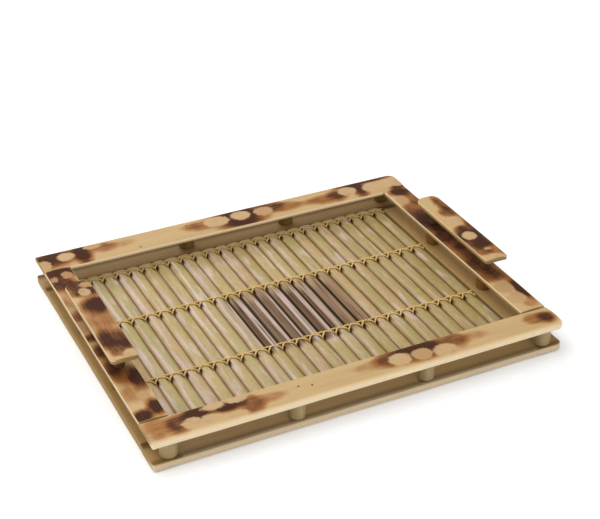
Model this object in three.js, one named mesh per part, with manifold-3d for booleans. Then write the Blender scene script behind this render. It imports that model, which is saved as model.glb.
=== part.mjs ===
// A bamboo serving tray: two rings of split-bamboo strips held apart by round pegs, a mat of slats
// bound with twine on the lower ring, and a raised handle strip over each short side.

import * as THREE from "three";
import { mergeVertices } from "three/addons/utils/BufferGeometryUtils.js";
import Module from "manifold-3d";

// Driving dimensions in millimetres: X runs along the tray, Y from front to back, Z up.
const TRAY_LENGTH = 350;
const TRAY_WIDTH = 285;

// Rails, split from a thick culm: the skin faces out of the ring, the hollow side faces the pegs.
const LONG_RAIL_WIDTH = 28.5;
const SHORT_RAIL_WIDTH = 23;
const UPPER_RAIL_THICKNESS = 4.8;
const LOWER_RAIL_THICKNESS = 6.1;
const SKIN_RADIUS = 70;
const HOLLOW_RADIUS = 130;
const EDGE_BEVEL = 0.4;
const LEFT_CORNER_ROUND = 2;
const RIGHT_CORNER_ROUND = 7;
const FOOT_LAND = 16; // width planed flat along the crown of each lower rail, which the tray stands on
const RING_GAP = 14.6; // height between the facing edges of the lower and the upper ring

// Corner joints: a stub tenon on each end of a short rail, in a mortise of the long rail.
const JOINT_GAP = 0.3;
const TENON_LENGTH = 7;
const TENON_WIDTH = 12;
const TENON_THICKNESS = 1.5;
const TENON_RISE = 0.8; // from the edges of the hollow face to the tenon
const TENON_ROOT = 2; // how far the tenon's block reaches back into its rail

// Pegs between the rings.
const PEG_DIAMETER = 14;
const PEG_END_INSET = 15; // from the end of a long rail to the axis of its last peg
const FRONT_INNER_PEGS = [-58, 52.5]; // places along X, as the pegs stand on the tray
const BACK_INNER_PEGS = [-39, 59];
const PEG_EDGE_INSET = 2.5; // from the outer edge of a long rail to the side of its pegs

// Handles, their posts and the nails that hold each stack of handle, post, rail and peg.
const HANDLE_LENGTH = 118;
const HANDLE_WIDTH = 21.5;
const HANDLE_THICKNESS = 4.4;
const HANDLE_FRONT_ROUND = 3.5;
const HANDLE_BACK_ROUND = 7;
const FINGER_GAP = 13.75; // clear height between the rail's crown and the handle
const POST_DIAMETER = 9.5;
const POST_SPACING = 84;
const NAIL_DIAMETER = 2;
const NAIL_HEAD_DIAMETER = 4;
const NAIL_HEAD_THICKNESS = 0.8;
const NAIL_POINT_LENGTH = 3;
const NAIL_TIP_HEIGHT = 2.4;

// Mat of slats, whose ends lie on a ledge along each long lower rail.
const SLAT_COUNT = 25;
const SLAT_THICKNESS = 3.2;
const SLAT_EDGE_THICKNESS = 2;
const MAT_SIDE_GAP = 2; // from a short rail to half a slat gap outside the last slat
const LEDGE_WIDTH = 5.5;
const LEDGE_DEPTH = 3.4;

// Twine rows: two strands that swap sides in every gap between slats.
const TWINE_RADIUS = 0.5;
const TWINE_SWAY = 1.6; // how far each strand stands off the middle of its row in a gap
const TWINE_RISE_SHARE = 0.05; // share of the slat pitch in which a strand rises past a slat's edge
const TWINE_SHOULDER = 0.6; // how far a strand is below its highest point where it has passed the edge
const TWINE_CLEARANCE = 0.45; // between a strand and the slat that it crosses
const TWINE_SIDE_CLEARANCE = 0.35; // between a strand in a gap and the slats beside it
const KNOT_HALF_WIDTH = 0.9;
const KNOT_HALF_LENGTH = 2.4;
const OUTER_ROW_INSET = 3; // from the inner edge of a long rail to the row beside it
const BACK_ROW_SPACING = 72.5;
const MIDDLE_ROW_SPACING = 86;

// Fineness of the facets.
const ARC_SEGMENTS = 4;
const ROUND_SEGMENTS = 20;
const HOLE_SEGMENTS = 8;
const KNOT_SEGMENTS = 6;
const CUT_OVERRUN = 1; // how far a cutting block runs past the surface that it cuts
const WELD_DISTANCE = 1e-4;

// Heights and places that follow from the dimensions above.
const upperRailBase = LOWER_RAIL_THICKNESS + RING_GAP;
const railCrown = upperRailBase + UPPER_RAIL_THICKNESS;
const handleBase = railCrown + FINGER_GAP;
const handleCrown = handleBase + HANDLE_THICKNESS;
const innerLength = TRAY_LENGTH - 2 * SHORT_RAIL_WIDTH;
const innerWidth = TRAY_WIDTH - 2 * LONG_RAIL_WIDTH;
const shortRailCentre = (TRAY_LENGTH - SHORT_RAIL_WIDTH) / 2;
const longRailCentre = (TRAY_WIDTH - LONG_RAIL_WIDTH) / 2;
const slatPitch = (innerLength - 2 * MAT_SIDE_GAP) / SLAT_COUNT;
const slatGap = 2 * (TWINE_RADIUS + TWINE_SIDE_CLEARANCE);
const slatWidth = slatPitch - slatGap;
const slatLength = innerWidth + 2 * (LEDGE_WIDTH - JOINT_GAP);
const slatBase = LOWER_RAIL_THICKNESS - LEDGE_DEPTH + JOINT_GAP;
const slatCrown = slatBase + SLAT_THICKNESS;
const slatMiddle = slatBase + SLAT_EDGE_THICKNESS / 2;
const matLength = slatPitch * SLAT_COUNT;
const knotCentre = (matLength - slatGap) / 2 + JOINT_GAP + KNOT_HALF_WIDTH;
const nailHoleRadius = NAIL_DIAMETER / 2 + JOINT_GAP;
const pegRadius = PEG_DIAMETER / 2;
const postRadius = POST_DIAMETER / 2;

const FINISHES = {
  skin: { color: 0xc9a468, roughness: 0.45 },
  handle: { color: 0xb98a52, roughness: 0.42 },
  hollow: { color: 0xa89a66, roughness: 0.6 },
  peg: { color: 0x9a9170, roughness: 0.6 },
  post: { color: 0x8d6a42, roughness: 0.55 },
  slat: { color: 0xa79a6c, roughness: 0.5 },
  twine: { color: 0xb98a3a, roughness: 0.85 },
  nail: { color: 0x4a3f36, roughness: 0.45, metalness: 0.9 },
};

const wasm = await Module();
wasm.setup();

// A closed geometry as a solid that can be joined and cut.
function solidOf(geometry) {
  const bare = geometry.clone();
  bare.deleteAttribute("normal");
  bare.deleteAttribute("uv");
  const merged = mergeVertices(bare, WELD_DISTANCE);
  return new wasm.Manifold(
    new wasm.Mesh({
      numProp: 3,
      vertProperties: merged.getAttribute("position").array,
      triVerts: new Uint32Array(merged.index.array),
    }),
  );
}

function geometryOf(solid) {
  const { vertProperties, triVerts } = solid.getMesh();
  const geometry = new THREE.BufferGeometry();
  geometry.setAttribute("position", new THREE.BufferAttribute(vertProperties, 3));
  geometry.setIndex(new THREE.BufferAttribute(triVerts, 1));
  geometry.computeVertexNormals();
  return geometry;
}

function piece(name, geometry, finish) {
  const mesh = new THREE.Mesh(geometry, new THREE.MeshStandardMaterial(finish));
  mesh.name = name;
  return mesh;
}

// A block given by its lowest and highest corner.
function block(low, high) {
  const size = high.clone().sub(low);
  const centre = low.clone().add(high).multiplyScalar(0.5);
  return new THREE.BoxGeometry(size.x, size.y, size.z).translate(centre.x, centre.y, centre.z);
}

// An upright round bar between two heights.
function roundBar(radius, low, high, segments, x = 0, y = 0) {
  return new THREE.CylinderGeometry(radius, radius, high - low, segments)
    .rotateX(Math.PI / 2)
    .translate(x, y, (low + high) / 2);
}

// How far a circular arc through the edges of a strip stands off the chord at a distance from the middle.
function arcRise(radius, halfWidth, offset) {
  return Math.sqrt(radius ** 2 - offset ** 2) - Math.sqrt(radius ** 2 - halfWidth ** 2);
}

// Section of a split strip, hollow face down with its edges at height 0 and the skin's crown on top,
// planed flat over the width of the land.
function stripSection(width, thickness, land) {
  const half = width / 2;
  const hollowAngle = Math.asin(half / HOLLOW_RADIUS);
  const skinCentre = thickness - Math.sqrt(SKIN_RADIUS ** 2 - (land / 2) ** 2);
  const bevelAngle = Math.acos((half - EDGE_BEVEL) / SKIN_RADIUS);
  const landAngle = Math.acos(land / 2 / SKIN_RADIUS);
  const bevelTop = skinCentre + SKIN_RADIUS * Math.sin(bevelAngle);
  const quarter = Math.PI / 2;

  const shape = new THREE.Shape();
  shape.moveTo(-half, 0);
  shape.absarc(
    0,
    -HOLLOW_RADIUS * Math.cos(hollowAngle),
    HOLLOW_RADIUS,
    quarter + hollowAngle,
    quarter - hollowAngle,
    true,
  );
  shape.lineTo(half, bevelTop - EDGE_BEVEL);
  shape.absarc(0, skinCentre, SKIN_RADIUS, bevelAngle, landAngle, false);
  shape.absarc(0, skinCentre, SKIN_RADIUS, Math.PI - landAngle, Math.PI - bevelAngle, false);
  shape.lineTo(-half, bevelTop - EDGE_BEVEL);
  shape.closePath();
  return shape;
}

// Outline of a strip from above. The corners are rounded in the order -X -Y, +X -Y, +X +Y, -X +Y.
function stripOutline(length, width, rounds) {
  const quarter = Math.PI / 2;
  const signs = [
    [-1, -1],
    [1, -1],
    [1, 1],
    [-1, 1],
  ];
  const shape = new THREE.Shape();
  signs.forEach(([alongX, alongY], i) => {
    const x = alongX * (length / 2 - rounds[i]);
    const y = alongY * (width / 2 - rounds[i]);
    const start = Math.PI + i * quarter;
    if (rounds[i] > 0) shape.absarc(x, y, rounds[i], start, start + quarter, false);
    else if (i === 0) shape.moveTo(x, y);
    else shape.lineTo(x, y);
  });
  return shape;
}

function extrude(shape, depth) {
  return new THREE.ExtrudeGeometry(shape, {
    depth,
    curveSegments: ARC_SEGMENTS,
    bevelEnabled: false,
  });
}

// A straight strip along X, centred on the origin, with its hollow face down.
function stripBar(length, width, thickness, land) {
  const alongX = new THREE.Matrix4().makeBasis(
    new THREE.Vector3(0, 1, 0),
    new THREE.Vector3(0, 0, 1),
    new THREE.Vector3(1, 0, 0),
  );
  const bar = extrude(stripSection(width, thickness, land), length).applyMatrix4(alongX);
  return solidOf(bar.translate(-length / 2, 0, 0));
}

function roundedStrip(length, width, thickness, land, rounds) {
  const outline = extrude(stripOutline(length, width, rounds), thickness + 2 * CUT_OVERRUN);
  outline.translate(0, 0, -CUT_OVERRUN);
  return stripBar(length, width, thickness, land).intersect(solidOf(outline));
}

// Long rail, lying along X with its inner edge towards +Y and a mortise for each short rail.
function longRail(thickness, land, endRounds, hasLedge) {
  const inner = LONG_RAIL_WIDTH / 2;
  const rounds = [...endRounds, 0, 0];
  let rail = roundedStrip(TRAY_LENGTH, LONG_RAIL_WIDTH, thickness, land, rounds);
  for (const x of [-shortRailCentre, shortRailCentre]) {
    const reach = TENON_WIDTH / 2 + JOINT_GAP;
    const mortise = block(
      new THREE.Vector3(x - reach, inner - TENON_LENGTH, TENON_RISE - JOINT_GAP),
      new THREE.Vector3(x + reach, inner + CUT_OVERRUN, TENON_RISE + TENON_THICKNESS + JOINT_GAP),
    );
    rail = rail.subtract(solidOf(mortise));
  }
  if (hasLedge) {
    const ledge = block(
      new THREE.Vector3(-innerLength / 2, inner - LEDGE_WIDTH, -CUT_OVERRUN),
      new THREE.Vector3(innerLength / 2, inner + CUT_OVERRUN, LEDGE_DEPTH),
    );
    rail = rail.subtract(solidOf(ledge));
  }
  return rail;
}

// Short rail, lying along X between the long rails, with a tenon on each end and a hole for each nail.
function shortRail(thickness, land, holeLow, holeHigh) {
  const length = innerWidth - 2 * JOINT_GAP;
  let rail = stripBar(length, SHORT_RAIL_WIDTH, thickness, land);
  for (const end of [-1, 1]) {
    const root = end * (length / 2 - TENON_ROOT);
    const tip = end * (length / 2 + TENON_LENGTH);
    const tenon = block(
      new THREE.Vector3(Math.min(root, tip), -TENON_WIDTH / 2, TENON_RISE),
      new THREE.Vector3(Math.max(root, tip), TENON_WIDTH / 2, TENON_RISE + TENON_THICKNESS),
    );
    const x = (end * POST_SPACING) / 2;
    const hole = roundBar(nailHoleRadius, holeLow, holeHigh, HOLE_SEGMENTS, x);
    rail = rail.add(solidOf(tenon)).subtract(solidOf(hole));
  }
  return rail;
}

// The rounds of a long rail's outer corners are given in the order of its side's X.
function upperLongRail(endRounds) {
  return longRail(UPPER_RAIL_THICKNESS, 0, endRounds, false);
}

// A lower rail is drawn skin up and laid skin down, which swaps its ends.
function lowerLongRail(endRounds) {
  return longRail(LOWER_RAIL_THICKNESS, FOOT_LAND, endRounds.toReversed(), true);
}

function upperShortRail() {
  return shortRail(UPPER_RAIL_THICKNESS, 0, -CUT_OVERRUN, UPPER_RAIL_THICKNESS + CUT_OVERRUN);
}

// The nail hole of a lower short rail ends just below the nail's tip.
function lowerShortRail() {
  const holeEnd = LOWER_RAIL_THICKNESS - NAIL_TIP_HEIGHT + JOINT_GAP;
  return shortRail(LOWER_RAIL_THICKNESS, FOOT_LAND, -CUT_OVERRUN, holeEnd);
}

// Round peg between the hollow faces of the two rings, centred at a distance from the rail's middle line.
function pegBar(railWidth, offset, hasHole) {
  const hollow = arcRise(HOLLOW_RADIUS, railWidth / 2, Math.abs(offset) + pegRadius);
  const low = LOWER_RAIL_THICKNESS - hollow + JOINT_GAP;
  const high = upperRailBase + hollow - JOINT_GAP;
  const peg = solidOf(roundBar(pegRadius, low, high, ROUND_SEGMENTS));
  if (!hasHole) return peg;
  const hole = roundBar(nailHoleRadius, low - CUT_OVERRUN, high + CUT_OVERRUN, HOLE_SEGMENTS);
  return peg.subtract(solidOf(hole));
}

// Post between the crown of an upper short rail and the hollow face of a handle.
function handlePost() {
  const hollow = arcRise(HOLLOW_RADIUS, HANDLE_WIDTH / 2, postRadius);
  const low = railCrown + JOINT_GAP;
  const high = handleBase + hollow - JOINT_GAP;
  const post = solidOf(roundBar(postRadius, low, high, ROUND_SEGMENTS));
  const hole = roundBar(nailHoleRadius, low - CUT_OVERRUN, high + CUT_OVERRUN, HOLE_SEGMENTS);
  return post.subtract(solidOf(hole));
}

// Handle strip with a hole and a shallow recess for each nail and its head. The rounds of its ends are
// given in the order of its side's X.
function handleStrip([lowEnd, highEnd]) {
  const rounds = [lowEnd, highEnd, highEnd, lowEnd];
  let strip = roundedStrip(HANDLE_LENGTH, HANDLE_WIDTH, HANDLE_THICKNESS, 0, rounds);
  const top = HANDLE_THICKNESS + CUT_OVERRUN;
  const recessFloor = HANDLE_THICKNESS - NAIL_HEAD_THICKNESS - JOINT_GAP;
  const recessRadius = NAIL_HEAD_DIAMETER / 2 + JOINT_GAP;
  for (const x of [-POST_SPACING / 2, POST_SPACING / 2]) {
    const hole = roundBar(nailHoleRadius, -CUT_OVERRUN, top, HOLE_SEGMENTS, x);
    const recess = roundBar(recessRadius, recessFloor, top, HOLE_SEGMENTS, x);
    strip = strip.subtract(solidOf(hole)).subtract(solidOf(recess));
  }
  return strip;
}

// Nail through handle, post, upper rail and peg into the lower rail, with its head flush.
function nailProfile() {
  const shank = NAIL_DIAMETER / 2;
  const head = NAIL_HEAD_DIAMETER / 2;
  const neck = handleCrown - NAIL_HEAD_THICKNESS;
  const profile = [
    new THREE.Vector2(0, NAIL_TIP_HEIGHT),
    new THREE.Vector2(shank, NAIL_TIP_HEIGHT + NAIL_POINT_LENGTH),
    new THREE.Vector2(shank, neck),
    new THREE.Vector2(head, neck),
    new THREE.Vector2(head, handleCrown),
    new THREE.Vector2(0, handleCrown),
  ];
  return new THREE.LatheGeometry(profile, HOLE_SEGMENTS).rotateX(Math.PI / 2);
}

// Slat along Y, flat below and rounded on top.
function slatBar() {
  const half = slatWidth / 2;
  const rise = SLAT_THICKNESS - SLAT_EDGE_THICKNESS;
  const radius = (half ** 2 + rise ** 2) / (2 * rise);
  const halfAngle = Math.asin(half / radius);
  const shape = new THREE.Shape();
  shape.moveTo(-half, 0);
  shape.lineTo(half, 0);
  shape.absarc(
    0,
    SLAT_THICKNESS - radius,
    radius,
    Math.PI / 2 - halfAngle,
    Math.PI / 2 + halfAngle,
    false,
  );
  return extrude(shape, slatLength)
    .translate(0, 0, -slatLength / 2)
    .rotateX(Math.PI / 2);
}

// One strand of a twine row: over one slat and under the next, changing sides as it crosses each slat.
class TwineStrand extends THREE.Curve {
  constructor(startsOver) {
    super();
    this.startsOver = startsOver;
    this.crown = 0.5;
    this.corners = [0, TWINE_RISE_SHARE, this.crown, 1 - TWINE_RISE_SHARE, 1];
    this.steps = SLAT_COUNT * (this.corners.length - 1);
    this.high = slatCrown + TWINE_CLEARANCE + TWINE_RADIUS;
    this.low = slatBase - TWINE_CLEARANCE - TWINE_RADIUS;
  }

  // Equal steps of the parameter are the corners of the path, so no arc length is looked up.
  getUtoTmapping(u) {
    return u;
  }

  getPoint(t, target = new THREE.Vector3()) {
    const perSlat = this.corners.length - 1;
    const place = THREE.MathUtils.clamp(t, 0, 1) * this.steps;
    const step = Math.min(Math.floor(place), this.steps - 1);
    const slat = Math.floor(step / perSlat);
    const from = this.corner(slat, step % perSlat);
    const to = this.corner(slat, (step % perSlat) + 1);
    return target.lerpVectors(from, to, place - step);
  }

  corner(slat, index) {
    const share = this.corners[index];
    const isOver = (slat % 2 === 0) === this.startsOver;
    const isGap = index === 0 || index === this.corners.length - 1;
    const drop = share === this.crown ? 0 : TWINE_SHOULDER;
    const passing = isOver ? this.high - drop : this.low;
    const side = isOver ? 1 : -1;
    return new THREE.Vector3(
      -matLength / 2 + (slat + share) * slatPitch,
      side * TWINE_SWAY * Math.cos(Math.PI * share),
      isGap ? slatMiddle : passing,
    );
  }
}

function twineRow() {
  const section = new THREE.Shape();
  section.moveTo(TWINE_RADIUS, 0);
  section.lineTo(0, TWINE_RADIUS);
  section.lineTo(-TWINE_RADIUS, 0);
  section.lineTo(0, -TWINE_RADIUS);
  section.closePath();

  const strands = [true, false].map((startsOver) => {
    const path = new TwineStrand(startsOver);
    return new THREE.ExtrudeGeometry(section, { steps: path.steps, extrudePath: path });
  });
  const knots = [-1, 1].map((end) =>
    new THREE.SphereGeometry(1, KNOT_SEGMENTS, KNOT_SEGMENTS)
      .scale(KNOT_HALF_WIDTH, KNOT_HALF_LENGTH, KNOT_HALF_WIDTH)
      .translate(end * knotCentre, 0, slatMiddle),
  );
  return [...strands, ...knots].map(solidOf).reduce((row, part) => row.add(part));
}

// A side of the tray in its own frame: X along the rail, +Y towards the middle of the tray.
function sideGroup(x, y, turn) {
  const group = new THREE.Group();
  group.position.set(x, y, 0);
  group.rotation.z = turn;
  return group;
}

function addRails(group, side, upper, lower) {
  const upperRail = piece(`upper_rail_${side}`, geometryOf(upper), FINISHES.skin);
  upperRail.position.z = upperRailBase;
  const lowerRail = piece(`lower_rail_${side}`, geometryOf(lower), FINISHES.hollow);
  lowerRail.rotation.y = Math.PI;
  lowerRail.position.z = LOWER_RAIL_THICKNESS;
  group.add(upperRail, lowerRail);
}

// The ends' rounds and the inner pegs are given in the order and direction of the tray's X, which the
// turned back side reverses.
function longSide(side, y, turn, innerPegs) {
  const isTurned = turn !== 0;
  const group = sideGroup(0, y, turn);
  const trayRounds = [LEFT_CORNER_ROUND, RIGHT_CORNER_ROUND];
  const endRounds = isTurned ? trayRounds.toReversed() : trayRounds;
  addRails(group, side, upperLongRail(endRounds), lowerLongRail(endRounds));
  const offset = PEG_EDGE_INSET + pegRadius - LONG_RAIL_WIDTH / 2;
  const endPeg = TRAY_LENGTH / 2 - PEG_END_INSET;
  [-endPeg, ...innerPegs, endPeg].forEach((x, i) => {
    const bar = pegBar(LONG_RAIL_WIDTH, offset, false);
    const peg = piece(`peg_${side}_${i + 1}`, geometryOf(bar), FINISHES.peg);
    peg.position.set(isTurned ? -x : x, offset, 0);
    group.add(peg);
  });
  return group;
}

// The ends of a short side are named in the order of its own X.
function shortSide(side, x, turn, ends) {
  const group = sideGroup(x, 0, turn);
  addRails(group, side, upperShortRail(), lowerShortRail());
  const rounds = ends.map((end) => (end === "front" ? HANDLE_FRONT_ROUND : HANDLE_BACK_ROUND));
  const handle = piece(`handle_${side}`, geometryOf(handleStrip(rounds)), FINISHES.handle);
  handle.position.z = handleBase;
  group.add(handle);
  ends.forEach((end, i) => {
    const where = `${side}_${end}`;
    const stack = [
      piece(`peg_${where}`, geometryOf(pegBar(SHORT_RAIL_WIDTH, 0, true)), FINISHES.peg),
      piece(`handle_post_${where}`, geometryOf(handlePost()), FINISHES.post),
      piece(`handle_nail_${where}`, nailProfile(), FINISHES.nail),
    ];
    for (const part of stack) part.position.x = (i - 0.5) * POST_SPACING;
    group.add(...stack);
  });
  return group;
}

function slatMat() {
  const group = new THREE.Group();
  for (let i = 0; i < SLAT_COUNT; i++) {
    const number = String(i + 1).padStart(2, "0");
    const slat = piece(`mat_slat_${number}`, slatBar(), FINISHES.slat);
    slat.position.set((i - (SLAT_COUNT - 1) / 2) * slatPitch, 0, slatBase);
    group.add(slat);
  }
  const backRow = innerWidth / 2 - OUTER_ROW_INSET;
  const rows = {
    back: backRow,
    mid_back: backRow - BACK_ROW_SPACING,
    mid_front: backRow - BACK_ROW_SPACING - MIDDLE_ROW_SPACING,
    front: -backRow,
  };
  for (const [name, y] of Object.entries(rows)) {
    const row = piece(`twine_row_${name}`, geometryOf(twineRow()), FINISHES.twine);
    row.position.y = y;
    group.add(row);
  }
  return group;
}

const tray = new THREE.Group();
tray.add(
  longSide("front", -longRailCentre, 0, FRONT_INNER_PEGS),
  longSide("back", longRailCentre, Math.PI, BACK_INNER_PEGS),
  shortSide("left", -shortRailCentre, -Math.PI / 2, ["back", "front"]),
  shortSide("right", shortRailCentre, Math.PI / 2, ["front", "back"]),
  slatMat(),
);

export default tray;
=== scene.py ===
"""Looks of a bamboo serving tray: scorched split-bamboo rails and handles, a twine-bound slat mat, pegs."""

import math
from functools import cached_property

import bmesh
import bpy
import numpy as np
from bpy.props import FloatProperty, FloatVectorProperty, IntProperty, PointerProperty
from mathutils import Matrix, Vector


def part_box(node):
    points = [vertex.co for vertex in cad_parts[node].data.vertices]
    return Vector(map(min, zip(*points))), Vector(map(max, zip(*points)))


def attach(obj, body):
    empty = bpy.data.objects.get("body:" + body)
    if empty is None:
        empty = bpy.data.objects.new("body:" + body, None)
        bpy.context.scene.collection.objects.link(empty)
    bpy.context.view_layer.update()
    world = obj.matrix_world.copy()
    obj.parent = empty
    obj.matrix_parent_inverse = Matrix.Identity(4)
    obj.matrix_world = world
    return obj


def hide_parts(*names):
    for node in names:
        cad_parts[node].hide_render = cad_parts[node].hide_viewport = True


bl_info = {
    "name": "Bamboo serving tray",
    "version": (1, 0, 0),
    "blender": (4, 5, 0),
    "location": "3D View > Sidebar > Tray",
    "description": "Builds the pieces and finishes of a scorched bamboo serving tray on its CAD frame",
    "category": "Object",
}

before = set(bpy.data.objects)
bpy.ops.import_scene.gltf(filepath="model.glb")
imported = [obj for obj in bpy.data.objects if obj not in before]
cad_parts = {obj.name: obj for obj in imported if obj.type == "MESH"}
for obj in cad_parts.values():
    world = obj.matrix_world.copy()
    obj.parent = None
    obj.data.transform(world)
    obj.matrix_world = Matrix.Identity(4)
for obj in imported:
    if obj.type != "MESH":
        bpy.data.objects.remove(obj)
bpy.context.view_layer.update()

MM = 0.001
IN_MILLIMETRES = (1000, 1000, 1000)
BODY = "root"

# Axes of each side of the tray: along the rail, and across it towards the middle.
SIDES = {
    "front": ((1, 0, 0), (0, 1, 0)),
    "back": ((-1, 0, 0), (0, -1, 0)),
    "left": ((0, -1, 0), (1, 0, 0)),
    "right": ((0, 1, 0), (-1, 0, 0)),
}
SHORT_SIDES = ("left", "right")
LONG_SIDES = ("front", "back")
TWINE_ROWS = ("back", "mid_back", "mid_front", "front")
SLAT_COUNT = sum(name.startswith("mat_slat_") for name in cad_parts)

# Flame marks on the skin of each strip, in millimetres on the tray's X and Y: place, half sizes and depth.
BURNS = {
    "upper_rail_back": (
        (-162, 133, 20, 17, 0.95),
        (-137, 131, 9, 20, 1.0),
        (-118, 132, 12, 9, 0.55),
        (-103, 130, 18, 7, 0.32),
        (-36, 130, 12, 7, 0.3),
        (-25, 129, 15, 9, 0.52),
        (12, 130, 26, 24, 1.0),
        (44, 134, 14, 11, 0.75),
        (57, 128, 14, 9, 0.5),
        (74, 126, 14, 6, 0.3),
        (98, 125, 20, 8, 0.6),
        (110, 127, 10, 10, 0.7),
        (133, 131, 9, 18, 0.95),
        (150, 140, 26, 5, 0.85),
        (122, 140, 12, 4, 0.7),
        (168, 114, 9, 7, 0.85),
    ),
    "upper_rail_right": (
        (165, 107, 11, 9, 1.0),
        (169, 90, 8, 16, 0.6),
        (161, 72, 14, 13, 0.62),
        (162, 47, 16, 22, 0.95),
        (161, 18, 14, 13, 0.85),
        (163, 2, 13, 10, 0.62),
        (165, -14, 14, 15, 0.7),
        (161, -36, 14, 15, 0.8),
        (163, -56, 13, 11, 0.72),
        (172, -82, 6, 18, 1.0),
        (167, -104, 8, 8, 0.35),
    ),
    "upper_rail_left": (
        (-163, 108, 16, 13, 1.0),
        (-167, 88, 12, 12, 0.85),
        (-158, 78, 9, 13, 0.7),
        (-166, 62, 12, 15, 0.4),
        (-166, 36, 12, 10, 0.65),
        (-165, 3, 14, 7, 0.9),
        (-166, -18, 14, 12, 0.85),
        (-170, -42, 7, 13, 0.8),
        (-163, -54, 14, 13, 0.6),
        (-156, -62, 8, 15, 0.9),
        (-166, -80, 12, 13, 0.36),
        (-156, -101, 7, 11, 1.0),
        (-169, -108, 9, 8, 1.0),
    ),
    "upper_rail_front": (
        (-165, -126, 12, 15, 0.48),
        (-150, -128, 9, 12, 0.78),
        (-133, -121, 13, 9, 1.0),
        (-110, -124, 13, 7, 1.0),
        (-93, -129, 10, 13, 0.66),
        (-78, -128, 15, 6, 0.4),
        (9, -126, 18, 7, 0.34),
        (22, -125, 11, 10, 0.6),
        (50, -122, 28, 15, 1.0),
        (84, -124, 10, 11, 0.62),
        (99, -125, 15, 6, 0.34),
        (157, -126, 12, 8, 0.52),
        (166, -128, 8, 8, 0.85),
    ),
    "handle_right": (
        (169, 41, 6, 17, 0.75),
        (167, 26, 9, 9, 0.64),
        (163, -4, 8, 6, 0.75),
        (162, -17, 14, 12, 1.0),
        (164, -32, 12, 9, 1.0),
        (159, -43, 8, 8, 0.7),
        (168, -50, 7, 9, 0.5),
        (172, -14, 4, 30, 0.8),
    ),
    "handle_left": (
        (-163, 54, 14, 9, 0.85),
        (-160, 42, 14, 8, 0.9),
        (-158, 20, 15, 13, 1.0),
        (-163, -2, 13, 18, 0.5),
        (-169, -30, 6, 16, 0.9),
        (-160, -32, 13, 14, 0.8),
        (-155, -41, 8, 9, 0.8),
        (-165, -50, 7, 6, 0.6),
    ),
    "lower_rail_front": (
        (-166, -142, 10, 8, 0.9),
        (-100, -128, 20, 12, 0.8),
        (40, -130, 24, 12, 0.8),
        (96, -142, 16, 7, 0.9),
        (158, -142, 10, 8, 0.85),
    ),
    "lower_rail_back": (
        (-140, 130, 18, 12, 0.9),
        (-20, 128, 22, 12, 0.8),
        (110, 130, 20, 12, 0.9),
    ),
    "lower_rail_left": (
        (-164, 60, 12, 18, 0.85),
        (-163, -50, 12, 20, 0.85),
    ),
    "lower_rail_right": (
        (164, 70, 12, 18, 0.85),
        (163, -40, 12, 20, 0.85),
    ),
}

# Pale spots that were masked from the flame, in the same millimetres: place, half sizes and how smoked.
SPOTS = {
    "upper_rail_back": (
        (-172, 123, 6, 8, 0.25),
        (-151, 130, 8, 7, 0),
        (-125, 138, 8, 6, 0.3),
        (-11, 130, 12, 9, 0),
        (13, 131, 9, 8.5, 0),
        (35, 129, 9, 8, 0.35),
        (121, 129, 9, 8, 0),
        (149, 126, 13, 9, 0),
        (171, 127, 7, 9, 0),
    ),
    "upper_rail_right": (
        (159, 92, 6, 8, 0.35),
        (160, -76, 8, 9, 0.3),
        (161, -94, 8, 8, 0.25),
    ),
    "upper_rail_left": (
        (-171, 98, 3, 4, 0.6),
        (-159, 101, 5, 6, 0.6),
        (-170, 19, 7, 9, 0.4),
        (-160, -84, 5, 5, 0.3),
    ),
    "upper_rail_front": (
        (-140, -131, 8, 6, 0),
        (-126, -132, 8, 5, 0),
        (-119, -119, 9.5, 4.5, 0),
        (-106, -136, 8, 4, 0),
        (-100, -118, 9, 5, 0),
        (32, -128, 9.5, 8, 0),
        (51, -129, 8.5, 7.5, 0.35),
        (70, -132, 10, 8, 0),
    ),
    "handle_right": (
        (162, 10, 9, 8, 0),
        (162, -17, 6.5, 7, 0),
        # A small pale mark round the front nail's head.
        (164.5, -42, 2.6, 2, 0),
        (163, -57, 10, 6, 0),
    ),
    "handle_left": (
        (-162, 41, 5, 6, 0.15),
        (-157, 52, 6, 4.5, 0.5),
        (-157, -54, 6, 5.5, 0),
        (-170, -58, 6, 4, 0),
    ),
    "lower_rail_front": ((-100, -130, 9, 6, 0), (30, -130, 9, 6, 0), (48, -131, 8, 6, 0)),
    "lower_rail_back": ((-140, 131, 9, 6, 0), (110, 131, 9, 6, 0)),
    "lower_rail_left": ((-164, 60, 6, 8, 0),),
    "lower_rail_right": ((163, -40, 6, 8, 0),),
}

# How pale the cut edges are on the outer and the inner side, and how many millimetres down from the skin.
PALE_CUTS = {
    "upper_rail_front": (1, 0.8, 1.7),
    "upper_rail_back": (0.5, 1, 3.2),
    "upper_rail_left": (0.8, 0.8, 1.7),
    "upper_rail_right": (0.8, 0.8, 1.7),
    "lower_rail_front": (0.65, 0.1, 1.7),
    "lower_rail_back": (0.2, 0.1, 1.7),
    "lower_rail_left": (0.15, 0.1, 1.7),
    "lower_rail_right": (0.3, 0.1, 1.7),
    "handle_left": (0.65, 0.5, 1.3),
    "handle_right": (0.65, 0.5, 1.3),
}

# How strong the painted highlight is on the skin along the front edge of the tray, and the painted light on
# the hollow side along the edge under it.
FRONT_HIGHLIGHTS = {"upper_rail_front": 0.8}
LIT_LIPS = {"lower_rail_front": 0.85}

# How strong the painted shade is on the hollow side of the short lower rails along its edges; 1 on the other
# strips.
LOWER_RAIL_SHADE = 0.15

# Shares of a burn's half sizes where it starts to fade and where it ends, and what counts as a deep burn.
BURN_FADE = (0.45, 1.45)
DEEP_BURN = 0.5

# A distance in millimetres that is well outside every masked spot.
FAR_FROM_SPOTS = 50.0

# Edges between faces that meet at more than this angle stay crisp, and points this close become one.
CRISP_ANGLE = math.radians(50)
MERGE_DISTANCE = 1e-7

# Sides of the round bores for the nails.
RAIL_BORE_SIDES = 16
HANDLE_BORE_SIDES = 24

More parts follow.
